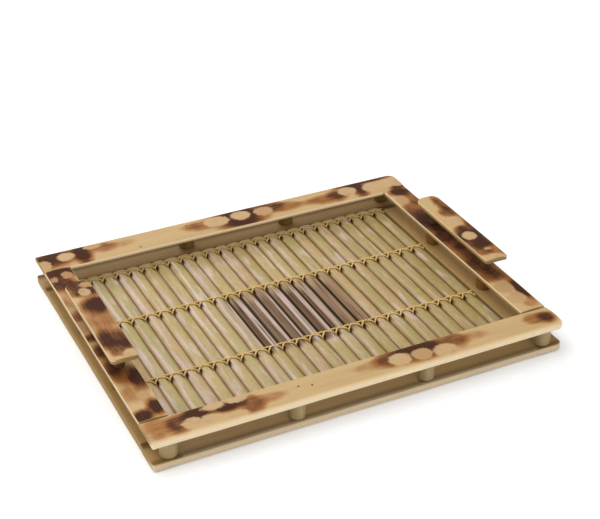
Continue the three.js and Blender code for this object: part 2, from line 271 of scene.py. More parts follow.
# Heads of the brads that hold the long rails on their pegs, in millimetres on the tray's X and Y.
BRADS = (
    (-53, -125),
    (-43, -128),
    (-38, 135),
    (-87, 118.5),
)

# Points round a slat and along it.
SLAT_RING = 48
SLAT_STATIONS = 170

# How deep a slat's notches go on the right, as a share of those on the left.
RIGHT_NOTCH = 0.35

# The step from groove to groove along the wave that sets their uneven places.
GROOVE_STEP = 2.4

# Points along a twine strand for each slat, and round it.
POINTS_PER_SLAT = 24
STRAND_RING = 14

# Points round a knot's strand and along each of its turns, and how many turns it has.
KNOT_RING = 10
KNOT_POINTS = 14
KNOT_TURNS = 3.0

# How far the middle of the twine lies off the slats, as a share of its radius.
TWINE_BED = 0.7

# Points round a peg, and round the section of its wall.
PEG_RING = 40
PEG_SECTION = 72

# First seeds of the handles, the twine rows and each set of pegs, so that no two look alike.
HANDLE_SEED = 21
TWINE_SEED = 41
PEG_SEED = 60

# How far apart the noise of two pieces lies, for each kind of mark.
FIBRE_STEP = 13.7
SCORCH_STEP = 9.1
SHEEN_STEP = 21.0

# Lamps: place and size in metres, and the setting that holds the power.
LAMPS = {
    "key_light": ((-0.35, 0.25, 1.6), (1.4, 1.1), "key_power"),
    "back_light": ((-0.1, 1.5, 1.15), (1.6, 0.5), "rim_power"),
    "front_light": ((0.2, -1.5, 0.75), (1.2, 0.8), "fill_power"),
    "left_light": ((-1.4, 0.1, 0.6), (0.8, 0.8), "fill_power"),
}


def srgb(red, green, blue):
    """A colour written as eight-bit display values, as the linear values that shaders use."""
    shares = (value / 255 for value in (red, green, blue))
    linear = (s / 12.92 if s <= 0.04045 else ((s + 0.055) / 1.055) ** 2.4 for s in shares)
    return (*linear, 1.0)


def length_property(name, description, default):
    """A size in metres."""
    return FloatProperty(
        name=name, description=description, default=default, min=0, precision=5, unit="LENGTH"
    )


def colour_property(name, description, default):
    """A linear colour."""
    return FloatVectorProperty(
        name=name, description=description, default=default, size=4, min=0, max=1, subtype="COLOR"
    )


class TrayStripSettings(bpy.types.PropertyGroup):
    """Sizes and colours of the split-bamboo strips: rails and handles."""

    skin_radius: length_property("Skin radius", "Radius of the culm's skin across a strip", 0.070)
    hollow_radius: length_property("Hollow radius", "Radius of the culm's hollow side", 0.130)
    foot_land: length_property("Foot land", "Width planed flat along each lower rail", 0.016)
    edge_round: length_property("Edge round", "Radius worn on the cut edges", 0.0007)
    # Painted highlight along the front edge, and painted light on the lower front rail's lip.
    front_highlight_width: length_property("Rim width", "Width of the pale rim along the front edge", 0.006)
    lit_lip_width: length_property("Lip width", "Width of the pale lip on the lower front rail", 0.0065)
    edge_sway: length_property("Edge sway", "How far a hand-split edge wanders", 0.00025)
    joint_gap: length_property("Joint gap", "Gap left where two pieces meet", 0.0003)
    left_round: length_property("Left corner", "Round of the tray's left corners", 0.002)
    right_round: length_property("Right corner", "Round of the tray's right corners", 0.007)
    handle_front_round: length_property("Handle front", "Round of a handle's front end", 0.0035)
    handle_back_round: length_property("Handle back", "Round of a handle's back end", 0.007)
    tenon_width: length_property("Tenon width", "Width of the short rails' tenons", 0.012)
    tenon_thickness: length_property("Tenon thickness", "Thickness of the tenons", 0.0015)
    tenon_rise: length_property("Tenon rise", "From the hollow face's edges to the tenon", 0.0008)
    tenon_length: length_property("Tenon length", "How far a tenon reaches past its shoulder", 0.007)
    ledge_width: length_property("Ledge width", "Width of the ledge under the slats' ends", 0.0055)
    ledge_depth: length_property("Ledge depth", "Depth of the ledge from the rail's edge", 0.0034)
    skin_colour: colour_property("Skin", "Plain honey-coloured skin", srgb(201, 169, 119))
    fade_colour: colour_property("Fade", "Skin browned at the rim of a burn", srgb(164, 108, 56))
    char_colour: colour_property("Char", "Skin in the middle of a burn", srgb(72, 39, 23))
    spot_colour: colour_property("Spot", "Skin that was masked from the flame", srgb(199, 165, 120))
    cut_colour: colour_property("Cut", "Fresh cut edges", srgb(252, 231, 194))
    # Darker cut edges: deep under the skin and along the lower ring.
    dark_cut_colour: colour_property("Dark cut", "Cut edges of the lower ring", srgb(168, 136, 84))
    # Painted highlight on the skin along the front edge.
    front_highlight_colour: colour_property("Rim", "Skin along the front edge", srgb(240, 214, 172))
    hollow_colour: colour_property("Hollow", "Inner side of the culm", srgb(182, 150, 98))
    # Painted light: a lighter hollow colour for the short lower rails, which lie in the shade of their upper
    # rails.
    lit_hollow_colour: colour_property("Golden", "Inner side of the short lower rails", srgb(190, 154, 98))
    # Painted shade: the hollow side darkens towards its long edges.
    hollow_shade_colour: colour_property("Hollow shade", "Inner side near its long edges", srgb(116, 88, 42))


class TrayMatSettings(bpy.types.PropertyGroup):
    """Sizes and colours of the slats and of the twine that binds them."""

    slat_edge: length_property("Slat edge", "Thickness of a slat at its sides", 0.0024)
    slat_foot: length_property("Slat foot", "How far a slat's foot spreads past its CAD side", 0.00078)
    slat_toe: length_property("Slat toe", "Thickness of a slat at its spread foot", 0.0014)
    slat_shoulder: length_property("Slat shoulder", "Width of the round down to the foot", 0.0016)
    notch_back: length_property("Notch back", "Reach of a slat's notch behind the twine", 0.0045)
    notch_front: length_property("Notch front", "Reach of a slat's notch before the twine", 0.0085)
    notch_depth: length_property("Notch depth", "Depth of a slat's notch past its foot", 0.0014)
    slat_sway: length_property("Slat sway", "How far a slat bends to either side", 0.0001)
    slat_uneven: length_property("Slat unevenness", "How far a groove lies off its even place", 0.0005)
    twine_radius: length_property("Twine radius", "Radius of one strand of twine", 0.00084)
    twine_sway: length_property("Twine sway", "How far a strand stands off its row", 0.0027)
    twine_twist: length_property("Twine twist", "Length of one turn of the twine's plies", 0.0042)
    knot_radius: length_property("Knot radius", "Radius of the turns of an end knot", 0.0005)
    knot_length: length_property("Knot length", "Length of an end knot along the slats", 0.0034)
    straw_colour: colour_property("Straw", "Pale slats", srgb(204, 177, 126))
    green_colour: colour_property("Green", "Streaks of unripe bamboo", srgb(182, 166, 98))
    # Olive slats on the right: partly their own colour, partly painted light that falls from the left.
    olive_colour: colour_property("Olive", "Ripe slats on the right", srgb(170, 144, 86))
    tan_colour: colour_property("Tan", "Slats that dried tan", srgb(200, 166, 126))
    sage_colour: colour_property("Sage", "Slats that dried grey-green", srgb(174, 162, 114))
    # The lilac is partly the slats' own bloom and partly a painted sheen on their left sides.
    lilac_colour: colour_property("Lilac", "Waxy bloom along the crowns", srgb(217, 195, 182))
    # Painted shade on the slats' sides and down in the grooves between them.
    shade_colour: colour_property("Shade", "Slats towards their sides", srgb(156, 124, 82))
    # Painted shade on the sides of the slats on the right.
    right_slat_shade: colour_property("Ripe shade", "Ripe slats towards their sides", srgb(126, 100, 50))
    groove_colour: colour_property("Groove", "Slat sides in the grooves", srgb(134, 102, 54))
    # Painted shadow in the notches in front of the twine.
    notch_shadow_colour: colour_property("Notch", "Slats in the notches by the twine", srgb(82, 52, 12))
    # Painted light on the slats' back ends, which lie under the back rail.
    lit_end_colour: colour_property("End", "Slats at their back ends", srgb(236, 208, 152))
    stain_colour: colour_property("Stain", "Darkened slats in the middle", srgb(78, 50, 34))
    # Painted highlight: pale lilac along one side of each stained slat.
    stain_highlight_colour: colour_property("Stain highlight", "Greyed slats in the middle", srgb(212, 189, 180))
    brown_colour: colour_property("Brown", "Browned slats right of the middle", srgb(160, 126, 96))
    line_colour: colour_property("Line", "Fine dark lines in the stain", srgb(52, 34, 24))
    twine_colour: colour_property("Twine", "Straw-coloured twine", srgb(255, 226, 150))
    # Painted shade between the twine's plies.
    twine_shade: colour_property("Twine shade", "Between the twine's plies", srgb(194, 144, 70))


class TrayPegSettings(bpy.types.PropertyGroup):
    """Sizes and colours of the pegs, posts, nails and brads."""

    end_round: length_property("End round", "Radius on the ends of pegs and posts", 0.0005)
    bore_radius: length_property("Bore radius", "Radius of the bore for a nail", 0.0013)
    nail_radius: length_property("Nail radius", "Radius of a nail's shank", 0.001)
    nail_head_radius: length_property("Nail head", "Radius of a nail's head", 0.0017)
    nail_head_height: length_property("Nail head height", "Thickness of a nail's head", 0.0008)
    nail_point: length_property("Nail point", "Length of a nail's point", 0.003)
    head_clearance: length_property("Head clearance", "Gap round a nail's head", 0.00005)
    brad_radius: length_property("Brad radius", "Radius of a brad's head", 0.0009)
    brad_rise: length_property("Brad rise", "Height of a brad's head over the skin", 0.0002)
    nail_segments: IntProperty(name="Nail segments", description="Sides of a nail", default=24, min=8)
    peg_colour: colour_property("Peg", "Grey-green pegs of the front", srgb(172, 150, 104))
    # The back and side pegs are darker: partly their own colour, partly painted shade under the rails.
    back_peg_colour: colour_property("Back peg", "Olive pegs of the back", srgb(132, 102, 52))
    side_peg_colour: colour_property("Side peg", "Brown pegs of the short sides", srgb(128, 88, 38))
    post_colour: colour_property("Post", "Brown handle posts", srgb(92, 58, 32))
    nail_colour: colour_property("Nail", "Dull steel of nails in plain skin", srgb(196, 162, 114))
    rust_colour: colour_property("Rust", "Scorched nails and the rails' brads", srgb(84, 58, 40))


class TrayStageSettings(bpy.types.PropertyGroup):
    """Camera, floor and light."""

    camera_azimuth: FloatProperty(
        name="Azimuth",
        description="Turn of the camera about the tray's upright axis",
        default=math.radians(-26),
        subtype="ANGLE",
    )
    camera_elevation: FloatProperty(
        name="Elevation",
        description="Angle of the camera over the floor",
        default=math.radians(31.2),
        subtype="ANGLE",
    )
    camera_lens: FloatProperty(
        name="Lens", description="Focal length in millimetres on a 36 mm sensor", default=81.9
    )
    camera_offset: FloatVectorProperty(
        name="Camera offset",
        description="Place of the camera to the right, up and back in its own axes",
        default=(0.0084, 0.0448, 1.141),
        size=3,
        unit="LENGTH",
    )
    aim_height: length_property("Aim height", "Height that the camera's axes start from", 0.0009)
    floor_size: length_property("Floor size", "Width of the floor", 12.0)
    floor_colour: colour_property("Floor", "Pale floor", (0.92, 0.92, 0.92, 1.0))
    floor_glow: FloatProperty(name="Floor glow", description="Light added to the seen floor", default=0.22)
    far_glow: FloatProperty(name="Far glow", description="Light added far from the tray", default=0.8)
    sky_strength: FloatProperty(name="Sky", description="Strength of the even light", default=0.46)
    key_power: FloatProperty(
        name="Key light", description="Power of the large light overhead", default=11.4, unit="POWER"
    )
    rim_power: FloatProperty(
        name="Back light", description="Power of the light behind the tray", default=9, unit="POWER"
    )
    fill_power: FloatProperty(
        name="Fill lights",
        description="Power of the lights in front and on the left",
        default=4,
        unit="POWER",
    )


class NodeDesk:
    """Adds linked nodes to one node tree."""

    def __init__(self, tree):
        self.tree = tree

    def add(self, kind, inputs=None, **settings):
        node = self.tree.nodes.new(kind)
        for name, value in settings.items():
            setattr(node, name, value)
        for key, value in (inputs or {}).items():
            self.feed(node.inputs[key], value)
        return node

    def result(self, kind, inputs=None, **settings):
        """The first output of a new node."""
        return self.add(kind, inputs, **settings).outputs[0]

    def feed(self, socket, value):
        if isinstance(value, bpy.types.NodeSocket):
            self.tree.links.new(value, socket)
        else:
            socket.default_value = value

    def math(self, operation, *values, clamp=False):
        return self.result("ShaderNodeMath", dict(enumerate(values)), operation=operation, use_clamp=clamp)

    def plus(self, first, second):
        return self.math("ADD", first, second)

    def minus(self, first, second):
        return self.math("SUBTRACT", first, second)

    def times(self, value, *factors):
        for factor in factors:
            value = self.math("MULTIPLY", value, factor)
        return value

    def vector_math(self, operation, *values):
        return self.result("ShaderNodeVectorMath", dict(enumerate(values)), operation=operation)

    def scaled(self, vector, scale):
        return self.vector_math("MULTIPLY", vector, scale)

    def split(self, vector):
        return self.add("ShaderNodeSeparateXYZ", {0: vector}).outputs

    def joined(self, x=0.0, y=0.0, z=0.0):
        return self.result("ShaderNodeCombineXYZ", {0: x, 1: y, 2: z})

    def smooth(self, value, low, high):
        """0 at the low value, 1 at the high one, with a smooth step between them."""
        inputs = {"Value": value, "From Min": low, "From Max": high}
        return self.result("ShaderNodeMapRange", inputs, interpolation_type="SMOOTHSTEP")

    def span(self, value, low, high):
        """A value from 0 to 1 spread over another range."""
        return self.result("ShaderNodeMapRange", {"Value": value, "To Min": low, "To Max": high})

    def noise(self, place, scale, seed, offset=0.0, detail=3.0, roughness=0.55):
        """Noise over a place that is first scaled; the seed and its offset pick which."""
        inputs = {
            "Vector": self.scaled(place, scale),
            "W": self.plus(seed, offset) if offset else seed,
            "Scale": 1.0,
            "Detail": detail,
            "Roughness": roughness,
        }
        return self.result("ShaderNodeTexNoise", inputs, noise_dimensions="4D")

    def blend(self, share, first, second, mode="MIX"):
        node = self.add("ShaderNodeMix", data_type="RGBA", blend_type=mode)
        for index, value in ((0, share), (6, first), (7, second)):
            self.feed(node.inputs[index], value)
        return node.outputs[2]

    def toned(self, colour, value):
        """A colour made lighter or darker by a factor."""
        return self.blend(1.0, colour, self.joined(value, value, value), "MULTIPLY")

    def attribute(self, name, output="Fac"):
        return self.add("ShaderNodeAttribute", attribute_name=name).outputs[output]

    def group(self, tree, inputs):
        """The outputs of a node group placed with these inputs."""
        kind = tree.bl_idname.replace("NodeTree", "NodeGroup")
        return self.add(kind, inputs, node_tree=tree).outputs


def floats(*names):
    """Sockets for plain numbers."""
    return dict.fromkeys(names, "Float")


def new_tree(name, kind, inputs, outputs):
    """A node group with named sockets, and the desk, the input node and the output node to fill it."""
    tree = bpy.data.node_groups.new(name, kind)
    for direction, sockets in (("INPUT", inputs), ("OUTPUT", outputs)):
        for label, socket in sockets.items():
            tree.interface.new_socket(label, in_out=direction, socket_type="NodeSocket" + socket)
    desk = NodeDesk(tree)
    return tree, desk, desk.add("NodeGroupInput").outputs, desk.add("NodeGroupOutput").inputs


def shader_tree(name, inputs, outputs):
    """A new shader node group."""
    return new_tree(name, "ShaderNodeTree", inputs, outputs)


def shape_tree(name, inputs):
    """A new geometry node group that gives one geometry."""
    return new_tree(name, "GeometryNodeTree", inputs, {"Geometry": "Geometry"})


def fibre_group():
    """Grain of split bamboo: broad tone, streaks and fine fibres along the strip."""
    inputs = {"Place": "Vector", "Seed": "Float"}
    tree, desk, given, made = shader_tree("bamboo_fibre", inputs, floats("Tone", "Streak", "Fibre"))
    place, seed = given["Place"], desk.times(given["Seed"], FIBRE_STEP)
    grain = {
        "Tone": desk.noise(place, (0.012, 0.11, 0.11), seed, detail=2.0),
        "Streak": desk.noise(place, (0.018, 0.75, 0.75), seed, 31.0, 4.0, 0.6),
        "Fibre": desk.noise(place, (0.05, 3.4, 3.4), seed, 67.0, 2.0, 0.5),
    }
    for name, value in grain.items():
        desk.feed(made[name], value)
    return tree


def scorch_group():
    """Flame marks on bamboo skin: a brown fade along the grain, a dark burn and pale masked spots."""
    inputs = {"Place": "Vector", **floats("Seed", "Burn", "Spot", "Smoke")}
    inputs |= dict.fromkeys(("Skin", "Fade", "Char", "Masked"), "Color")
    outputs = {"Colour": "Color", "Burnt": "Float"}
    tree, desk, given, made = shader_tree("flame_scorch", inputs, outputs)
    place, burn, seed = given["Place"], given["Burn"], desk.times(given["Seed"], SCORCH_STEP)
    patch = desk.noise(place, (0.13, 0.16, 0.16), seed)
    lick = desk.noise(place, (0.03, 0.9, 0.9), seed, 5.0, 4.0, 0.65)
    ragged = desk.noise(place, (0.3, 0.36, 0.36), seed, 11.0, 4.0)
    # A burn of middling depth is the most uneven.
    middling = desk.times(burn, desk.minus(1.35, burn))
    patchy = desk.times(desk.minus(patch, 0.5), middling, 1.1)
    licked = desk.times(desk.minus(lick, 0.5), middling, 1.5)
    heat = desk.plus(burn, desk.plus(patchy, licked))
    charred = desk.smooth(heat, 0.42, 0.98)
    colour = desk.blend(desk.smooth(heat, 0.06, 0.55), given["Skin"], given["Fade"])
    colour = desk.blend(charred, colour, given["Char"])
    rim = desk.math("MULTIPLY_ADD", desk.minus(ragged, 0.5), 4.0, given["Spot"])
    masked = desk.smooth(rim, 1.1, -1.3)
    dusted = desk.times(desk.smooth(patch, 0.5, 0.8), 0.35)
    smoked = desk.times(given["Smoke"], desk.span(patch, 0.6, 1.4))
    spot = desk.blend(desk.math("MAXIMUM", dusted, smoked), given["Masked"], given["Fade"])
    desk.feed(made["Colour"], desk.blend(masked, colour, spot))
    desk.feed(made["Burnt"], desk.times(charred, desk.minus(1.0, masked)))
    return tree


def grain_bump_group():
    """Relief of the fibres as a normal, for any bamboo finish."""
    inputs = floats("Streak", "Fibre", "Depth")
    tree, desk, given, made = shader_tree("grain_relief", inputs, {"Normal": "Vector"})
    height = desk.plus(desk.times(given["Streak"], 0.7), given["Fibre"])
    relief = {"Strength": 0.6, "Distance": given["Depth"], "Height": height}
    desk.feed(made["Normal"], desk.result("ShaderNodeBump", relief))
    return tree


def shared_group(name, maker):
    """The node group of this name, made when it is first asked for."""
    return bpy.data.node_groups.get(name) or maker()


class Finish(NodeDesk):
    """A material being made, with its Principled shader and the shared bamboo groups at hand."""

    def __init__(self, name):
        self.material = bpy.data.materials.new(name)
        self.material.use_nodes = True
        super().__init__(self.material.node_tree)
        self.shader = self.tree.nodes["Principled BSDF"]

    @cached_property
    def place(self):
        """Place on the piece itself, lengthways first, in millimetres."""
        return self.attribute("strip_place", "Vector")

    @cached_property
    def seed(self):
        return self.attribute("piece_seed")

    @cached_property
    def on_tray(self):
        """Place on the tray, in metres."""
        return self.add("ShaderNodeTexCoord").outputs["Object"]

    def fibres(self):
        tree = shared_group("bamboo_fibre", fibre_group)
        return self.group(tree, {"Place": self.place, "Seed": self.seed})

    def relief(self, grain, depth):
        tree = shared_group("grain_relief", grain_bump_group)
        values = {"Streak": grain["Streak"], "Fibre": grain["Fibre"], "Depth": depth}
        self.set(Normal=self.group(tree, values)["Normal"])

    def grained(self, colour, grain, streak_share, fibre_share):
        """A colour with its streaks and fibres lighter and darker by these shares."""
        toned = self.toned(colour, self.span(grain["Streak"], 1 - streak_share, 1 + streak_share))
        return self.toned(toned, self.span(grain["Fibre"], 1 - fibre_share, 1 + fibre_share))

    def set(self, **values):
        for name, value in values.items():
            self.feed(self.shader.inputs[name.replace("_", " ")], value)


def strip_finish(name, settings, tint, inside):
    """Split bamboo with a scorched skin, pale cut edges, a painted highlight along the tray's front edge, and
    a hollow side with painted shade towards its edges.
    """
    finish = Finish(name)
    grain = finish.fibres()
    skin = finish.grained(tint, grain, 0.16, 0.08)
    values = {
        "Place": finish.place,
        "Seed": finish.seed,
        "Burn": finish.attribute("burn"),
        "Spot": finish.attribute("spot"),
        "Smoke": finish.attribute("smoke"),
        "Skin": finish.toned(skin, finish.span(grain["Tone"], 0.86, 1.12)),
        "Fade": finish.grained(settings.fade_colour, grain, 0.35, 0.12),
        "Char": finish.grained(settings.char_colour, grain, 0.3, 0.1),
        "Masked": finish.grained(settings.spot_colour, grain, 0.08, 0.05),
    }
    marks = finish.group(shared_group("flame_scorch", scorch_group), values)
    # Painted shade darkens the hollow side towards its long edges.
    hollow = finish.blend(finish.attribute("near_edge"), inside, settings.hollow_shade_colour)
    hollow = finish.grained(hollow, grain, 0.25, 0.14)
    # Painted highlight on the skin along the tray's front edge.
    rim = finish.grained(settings.front_highlight_colour, grain, 0.1, 0.05)
    with_front_highlight = finish.blend(finish.attribute("rim"), marks["Colour"], rim)
    colour = finish.blend(finish.attribute("skin_side"), hollow, with_front_highlight)
    cut = finish.blend(finish.attribute("pale_cut"), settings.dark_cut_colour, settings.cut_colour)
    cut = finish.grained(cut, grain, 0.12, 0.1)
    colour = finish.blend(finish.attribute("cut_edge"), colour, cut)
    rough = finish.span(marks["Burnt"], 0.48, 0.72)
    finish.set(Base_Color=colour, Roughness=rough, Specular_IOR_Level=0.12)
    finish.relief(grain, 0.00012)
    return finish.material


class SlatFinish(Finish):
    """Split slats: paler and greener on the left, darker olive on the right (partly own colour, partly
    painted light), a lilac bloom with painted sheen, and a stained middle.
    """

    # Where each of these starts and is full, in metres on the tray; the stain's sides count from its middle.
    # Paler on the left and darker olive on the right: partly the slats' own colour, partly painted light from
    # the left.
    RIGHTWARD = (-0.06, 0.17)
    # Painted shade: slats a little darker towards the front.
    FRONT_SHADE = (-0.06, -0.11)
    STAIN_MIDDLE = 0.004
    STAIN_SIDES = (0.055, 0.045)
    STAIN_FRONT = (-0.056, -0.046)
    STAIN_BACK = (0.036, 0.016)
    BROWN_BACK = (0.042, 0.034)
    BROWN_RIGHT = (0.012, 0.042)
    # Painted light on the back ends, and painted shadow by the twine up to them.
    LIT_ENDS = (0.1125, 0.116)
    NOTCHES = (0.117, 0.1135)
    # The same across a slat, in millimetres from its middle.
    SIDE_SHADE = (2.8, 5.6)
    NOTCH_SIDES = (2.2, 3.6)

    def __init__(self, settings):
        super().__init__("slat_bamboo")
        self.settings = settings
        self.grain = self.fibres()
        self.x, self.y = self.split(self.on_tray)[:2]
        self.side = self.split(self.place)[1]
        self.out = self.math("ABSOLUTE", self.side)
        draw = self.add("ShaderNodeTexWhiteNoise", {"W": self.seed}, noise_dimensions="1D")
        drawn = self.add("ShaderNodeSeparateColor", {"Color": draw.outputs["Color"]}).outputs
        self.hue, self.wax_share, self.tone = drawn[:3]
        # How far right a slat lies; the change from left to right is partly own colour, partly painted light
        # from the left.
        self.rightward = self.smooth(self.math("MULTIPLY_ADD", self.hue, 0.05, self.x), *self.RIGHTWARD)
        self.browned, self.inside = self.stain_reach()
        soaked = self.math("MULTIPLY_ADD", self.minus(self.hue, 0.5), 5.0, self.side)
        self.soaked = self.smooth(soaked, 1.3, -0.3)
        self.stain = self.times(self.inside, self.soaked, self.span(self.tone, 0.55, 1.0))
        # Painted shadow in the notches in front of each twine row.
        by_twine = self.times(self.attribute("at_twine"), self.smooth(self.out, *self.NOTCH_SIDES))
        self.notch = self.times(by_twine, self.smooth(self.y, *self.NOTCHES))

    def stain_reach(self):
        """How far the stain's brown and its dark middle reach, with ends that wander."""
        wander = self.noise(self.place, (0.05, 0.1, 0.1), self.seed)
        along = self.plus(self.y, self.times(self.minus(wander, 0.5), 0.02))
        across = self.math("ABSOLUTE", self.minus(self.x, self.STAIN_MIDDLE))
        ahead = self.times(self.smooth(along, *self.STAIN_FRONT), self.smooth(across, *self.STAIN_SIDES))
        browned = self.times(ahead, self.smooth(along, *self.BROWN_BACK))
        return browned, self.times(ahead, self.smooth(along, *self.STAIN_BACK))

    def dried(self):
        """Straw-coloured slats with green streaks, some tan or sage, turning olive to the right: partly their
        own colour, partly painted light from the left.
        """
        settings, hue = self.settings, self.hue
        green = self.smooth(self.grain["Streak"], self.span(hue, 0.6, 0.34), self.span(hue, 0.84, 0.6))
        colour = self.blend(green, settings.straw_colour, settings.green_colour)
        colour = self.blend(self.times(self.rightward, 0.9), colour, settings.olive_colour)
        leftward = self.span(self.rightward, 0.65, 0.35)
        tan = self.times(self.smooth(hue, 0.42, 0.15), leftward)
        colour = self.blend(tan, colour, settings.tan_colour)
        sage = self.times(self.smooth(self.tone, 0.5, 0.85), leftward)
        return self.blend(sage, colour, settings.sage_colour)

    def bloom_and_sheen(self, colour):
        """Lilac along the crowns, partly the slats' own bloom and partly a painted sheen strongest on their
        left sides, with paler and greener patches.
        """
        settings = self.settings
        wax = self.noise(self.place, (0.014, 0.3, 0.0), self.times(self.seed, SHEEN_STEP))
        # Painted sheen: stronger on each slat's left side.
        wax = self.math("MULTIPLY_ADD", self.smooth(self.side, 1.0, -3.6), 0.16, wax)
        bloom = self.smooth(wax, self.span(self.wax_share, 0.64, 0.42), 0.76)
        bloom = self.times(bloom, self.span(self.rightward, 1.0, 0.2))
        colour = self.blend(bloom, colour, settings.lilac_colour)
        patch = self.noise(self.place, (0.03, 0.14, 0.0), self.seed, 17.0, 1.0)
        paler = self.times(self.smooth(patch, 0.54, 0.68), 0.6)
        colour = self.blend(paler, colour, settings.lilac_colour)
        greener = self.times(self.smooth(patch, 0.46, 0.32), 0.5)
        return self.blend(greener, colour, settings.green_colour)

    def mottled_and_shaded(self, colour):
        """Grain, mottling and each slat's own tone, with painted shade a little darker at the front."""
        colour = self.grained(colour, self.grain, 0.1, 0.12)
        mottle = self.noise(self.place, (0.16, 0.6, 0.0), self.seed, 7.0, 4.0)
        # Painted shade towards the front.
        shaded = self.smooth(self.y, *self.FRONT_SHADE)
        colour = self.toned(colour, self.span(self.grain["Tone"], 0.84, 1.14))
        colour = self.toned(colour, self.span(shaded, 1.0, 0.93))
        colour = self.toned(colour, self.span(self.tone, 0.86, 1.02))
        return self.toned(colour, self.span(mottle, 0.72, 1.28))

    def stained(self, colour):
        """The mat's stained middle: slats browned or soaked dark, with a painted highlight along one side,
        and fine dark lines.
        """
        settings, grain = self.settings, self.grain
        colour = self.blend(self.times(self.browned, 0.65), colour, settings.brown_colour)
        browner = self.smooth(self.x, *self.BROWN_RIGHT)
        highlight_tint = self.blend(browner, settings.stain_highlight_colour, settings.brown_colour)
        # Painted highlight on the side of each stained slat away from its dark part.
        highlight_mask = self.times(self.inside, self.span(self.soaked, 0.8, 0.0))
        colour = self.blend(highlight_mask, colour, self.grained(highlight_tint, grain, 0.2, 0.1))
        dark = self.blend(browner, settings.stain_colour, self.toned(settings.brown_colour, 0.7))
        colour = self.blend(self.stain, colour, self.grained(dark, grain, 0.7, 0.3))
        line = self.smooth(self.noise(self.place, (0.012, 0.8, 0.0), self.seed, 31.0, 2.0), 0.53, 0.61)
        return self.blend(self.times(line, self.browned, 0.75), colour, settings.line_colour)

    def grooved(self, colour):
        """Painted shade towards a slat's sides, and darker painted shade on the sides down in the grooves."""
        settings, browned = self.settings, self.browned
        # Noise that makes the painted shade uneven along a slat.
        shade_wander = self.smooth(self.noise(self.place, (0.03, 0.0, 0.0), self.seed, 13.0), 0.36, 0.64)
        shade = self.times(self.smooth(self.out, *self.SIDE_SHADE), self.span(shade_wander, 0.35, 0.75))
        shaded = self.blend(self.rightward, settings.shade_colour, settings.right_slat_shade)
        colour = self.blend(shade, colour, shaded)
        groove = self.smooth(self.out, self.span(browned, 4.6, 4.2), self.span(browned, 5.7, 5.2))
        groove = self.times(groove, self.math("MAXIMUM", self.span(shade_wander, 0.6, 1.0), browned))
        sides = self.toned(settings.groove_colour, self.span(self.rightward, 1.3, 0.8))
        return self.blend(groove, colour, self.toned(sides, self.span(browned, 1.0, 0.12)))

    def notched(self, colour):
        """Painted light on the back ends, and painted shadow in the notches by the twine."""
        ends = self.times(self.smooth(self.y, *self.LIT_ENDS), 0.95)
        colour = self.blend(ends, colour, self.settings.lit_end_colour)
        return self.blend(self.times(self.notch, 0.9), colour, self.settings.notch_shadow_colour)


def slat_finish(settings):
    """The slats' bamboo, dulled in the stain and the notches."""
    finish = SlatFinish(settings)
    colour = finish.mottled_and_shaded(finish.bloom_and_sheen(finish.dried()))
    colour = finish.notched(finish.grooved(finish.stained(colour)))
    dull = finish.times(finish.math("MAXIMUM", finish.stain, finish.notch), 0.9)
    rough = finish.math("MAXIMUM", finish.span(finish.grain["Streak"], 0.42, 0.58), dull)
    finish.set(Base_Color=colour, Roughness=rough, Specular_IOR_Level=0.15)
    finish.relief(finish.grain, 0.0001)
    return finish.material


def round_finish(name, colour, shade):
    """Round bamboo of the pegs and posts, with upright fibres and a tone that varies along them."""
    finish = Finish(name)
    grain = finish.fibres()
    toned = finish.grained(colour, grain, 0.3, 0.16)
    toned = finish.toned(toned, finish.span(grain["Tone"], 1 - shade, 1 + shade))
    finish.set(Base_Color=toned, Roughness=finish.span(grain["Fibre"], 0.48, 0.62), IOR=1.45)
    finish.relief(grain, 0.00015)
    return finish.material


def twine_finish(settings):
    """Plied straw twine: lighter crowns of the plies with painted shade between them, painted shade on the
    back row, and fine fibres.
    """
    finish = Finish("straw_twine")
    fibre = finish.noise(finish.place, (1.1, 6.0, 6.0), finish.seed)
    tone = finish.noise(finish.place, (0.09, 0.0, 0.0), finish.seed, 3.0)
    # Painted shade: the back row, under the back rail, is darker.
    in_back_row = finish.smooth(finish.split(finish.on_tray)[1], 0.09, 0.105)
    colour = finish.blend(finish.attribute("ply_crown"), settings.twine_shade, settings.twine_colour)
    colour = finish.toned(colour, finish.span(fibre, 0.75, 1.25))
    colour = finish.toned(colour, finish.span(tone, 0.7, 1.25))
    colour = finish.toned(colour, finish.span(in_back_row, 1.0, 0.82))
    bump = finish.result("ShaderNodeBump", {"Strength": 0.5, "Distance": 0.0001, "Height": fibre})
    finish.set(Base_Color=colour, Roughness=0.8, Normal=bump)
    return finish.material


def steel_finish(name, steel):
    """Dull, slightly rusted steel of the nails and brads."""
    finish = Finish(name)
    rust = finish.noise(finish.on_tray, (900, 900, 900), 4.0)
    colour = finish.blend(finish.smooth(rust, 0.45, 0.7), steel, finish.toned(steel, 0.75))
    finish.set(Base_Color=colour, Metallic=finish.span(rust, 0.2, 0.0))
    finish.set(Roughness=finish.span(rust, 0.5, 0.7), Specular_IOR_Level=0.2)
    return finish.material


def new_piece(name, mesh, material, slot, *nodes):
    """A finished piece on the tray's body that stands for the given CAD nodes."""
    piece = bpy.data.objects.new(name, mesh)
    bpy.context.scene.collection.objects.link(piece)
    mesh.materials.clear()
    mesh.materials.append(material)
    mesh.shade_smooth()
    mesh.set_sharp_from_angle(angle=CRISP_ANGLE)
    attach(piece, BODY)
    if nodes:
        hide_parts(*nodes)
    return piece


def set_attribute(mesh, name, values, kind="FLOAT"):
    """Writes one value or vector for each vertex."""
    attribute = mesh.attributes.new(name, kind, "POINT")
    field = "vector" if kind == "FLOAT_VECTOR" else "value"
    attribute.data.foreach_set(field, np.asarray(values, np.float32).ravel())


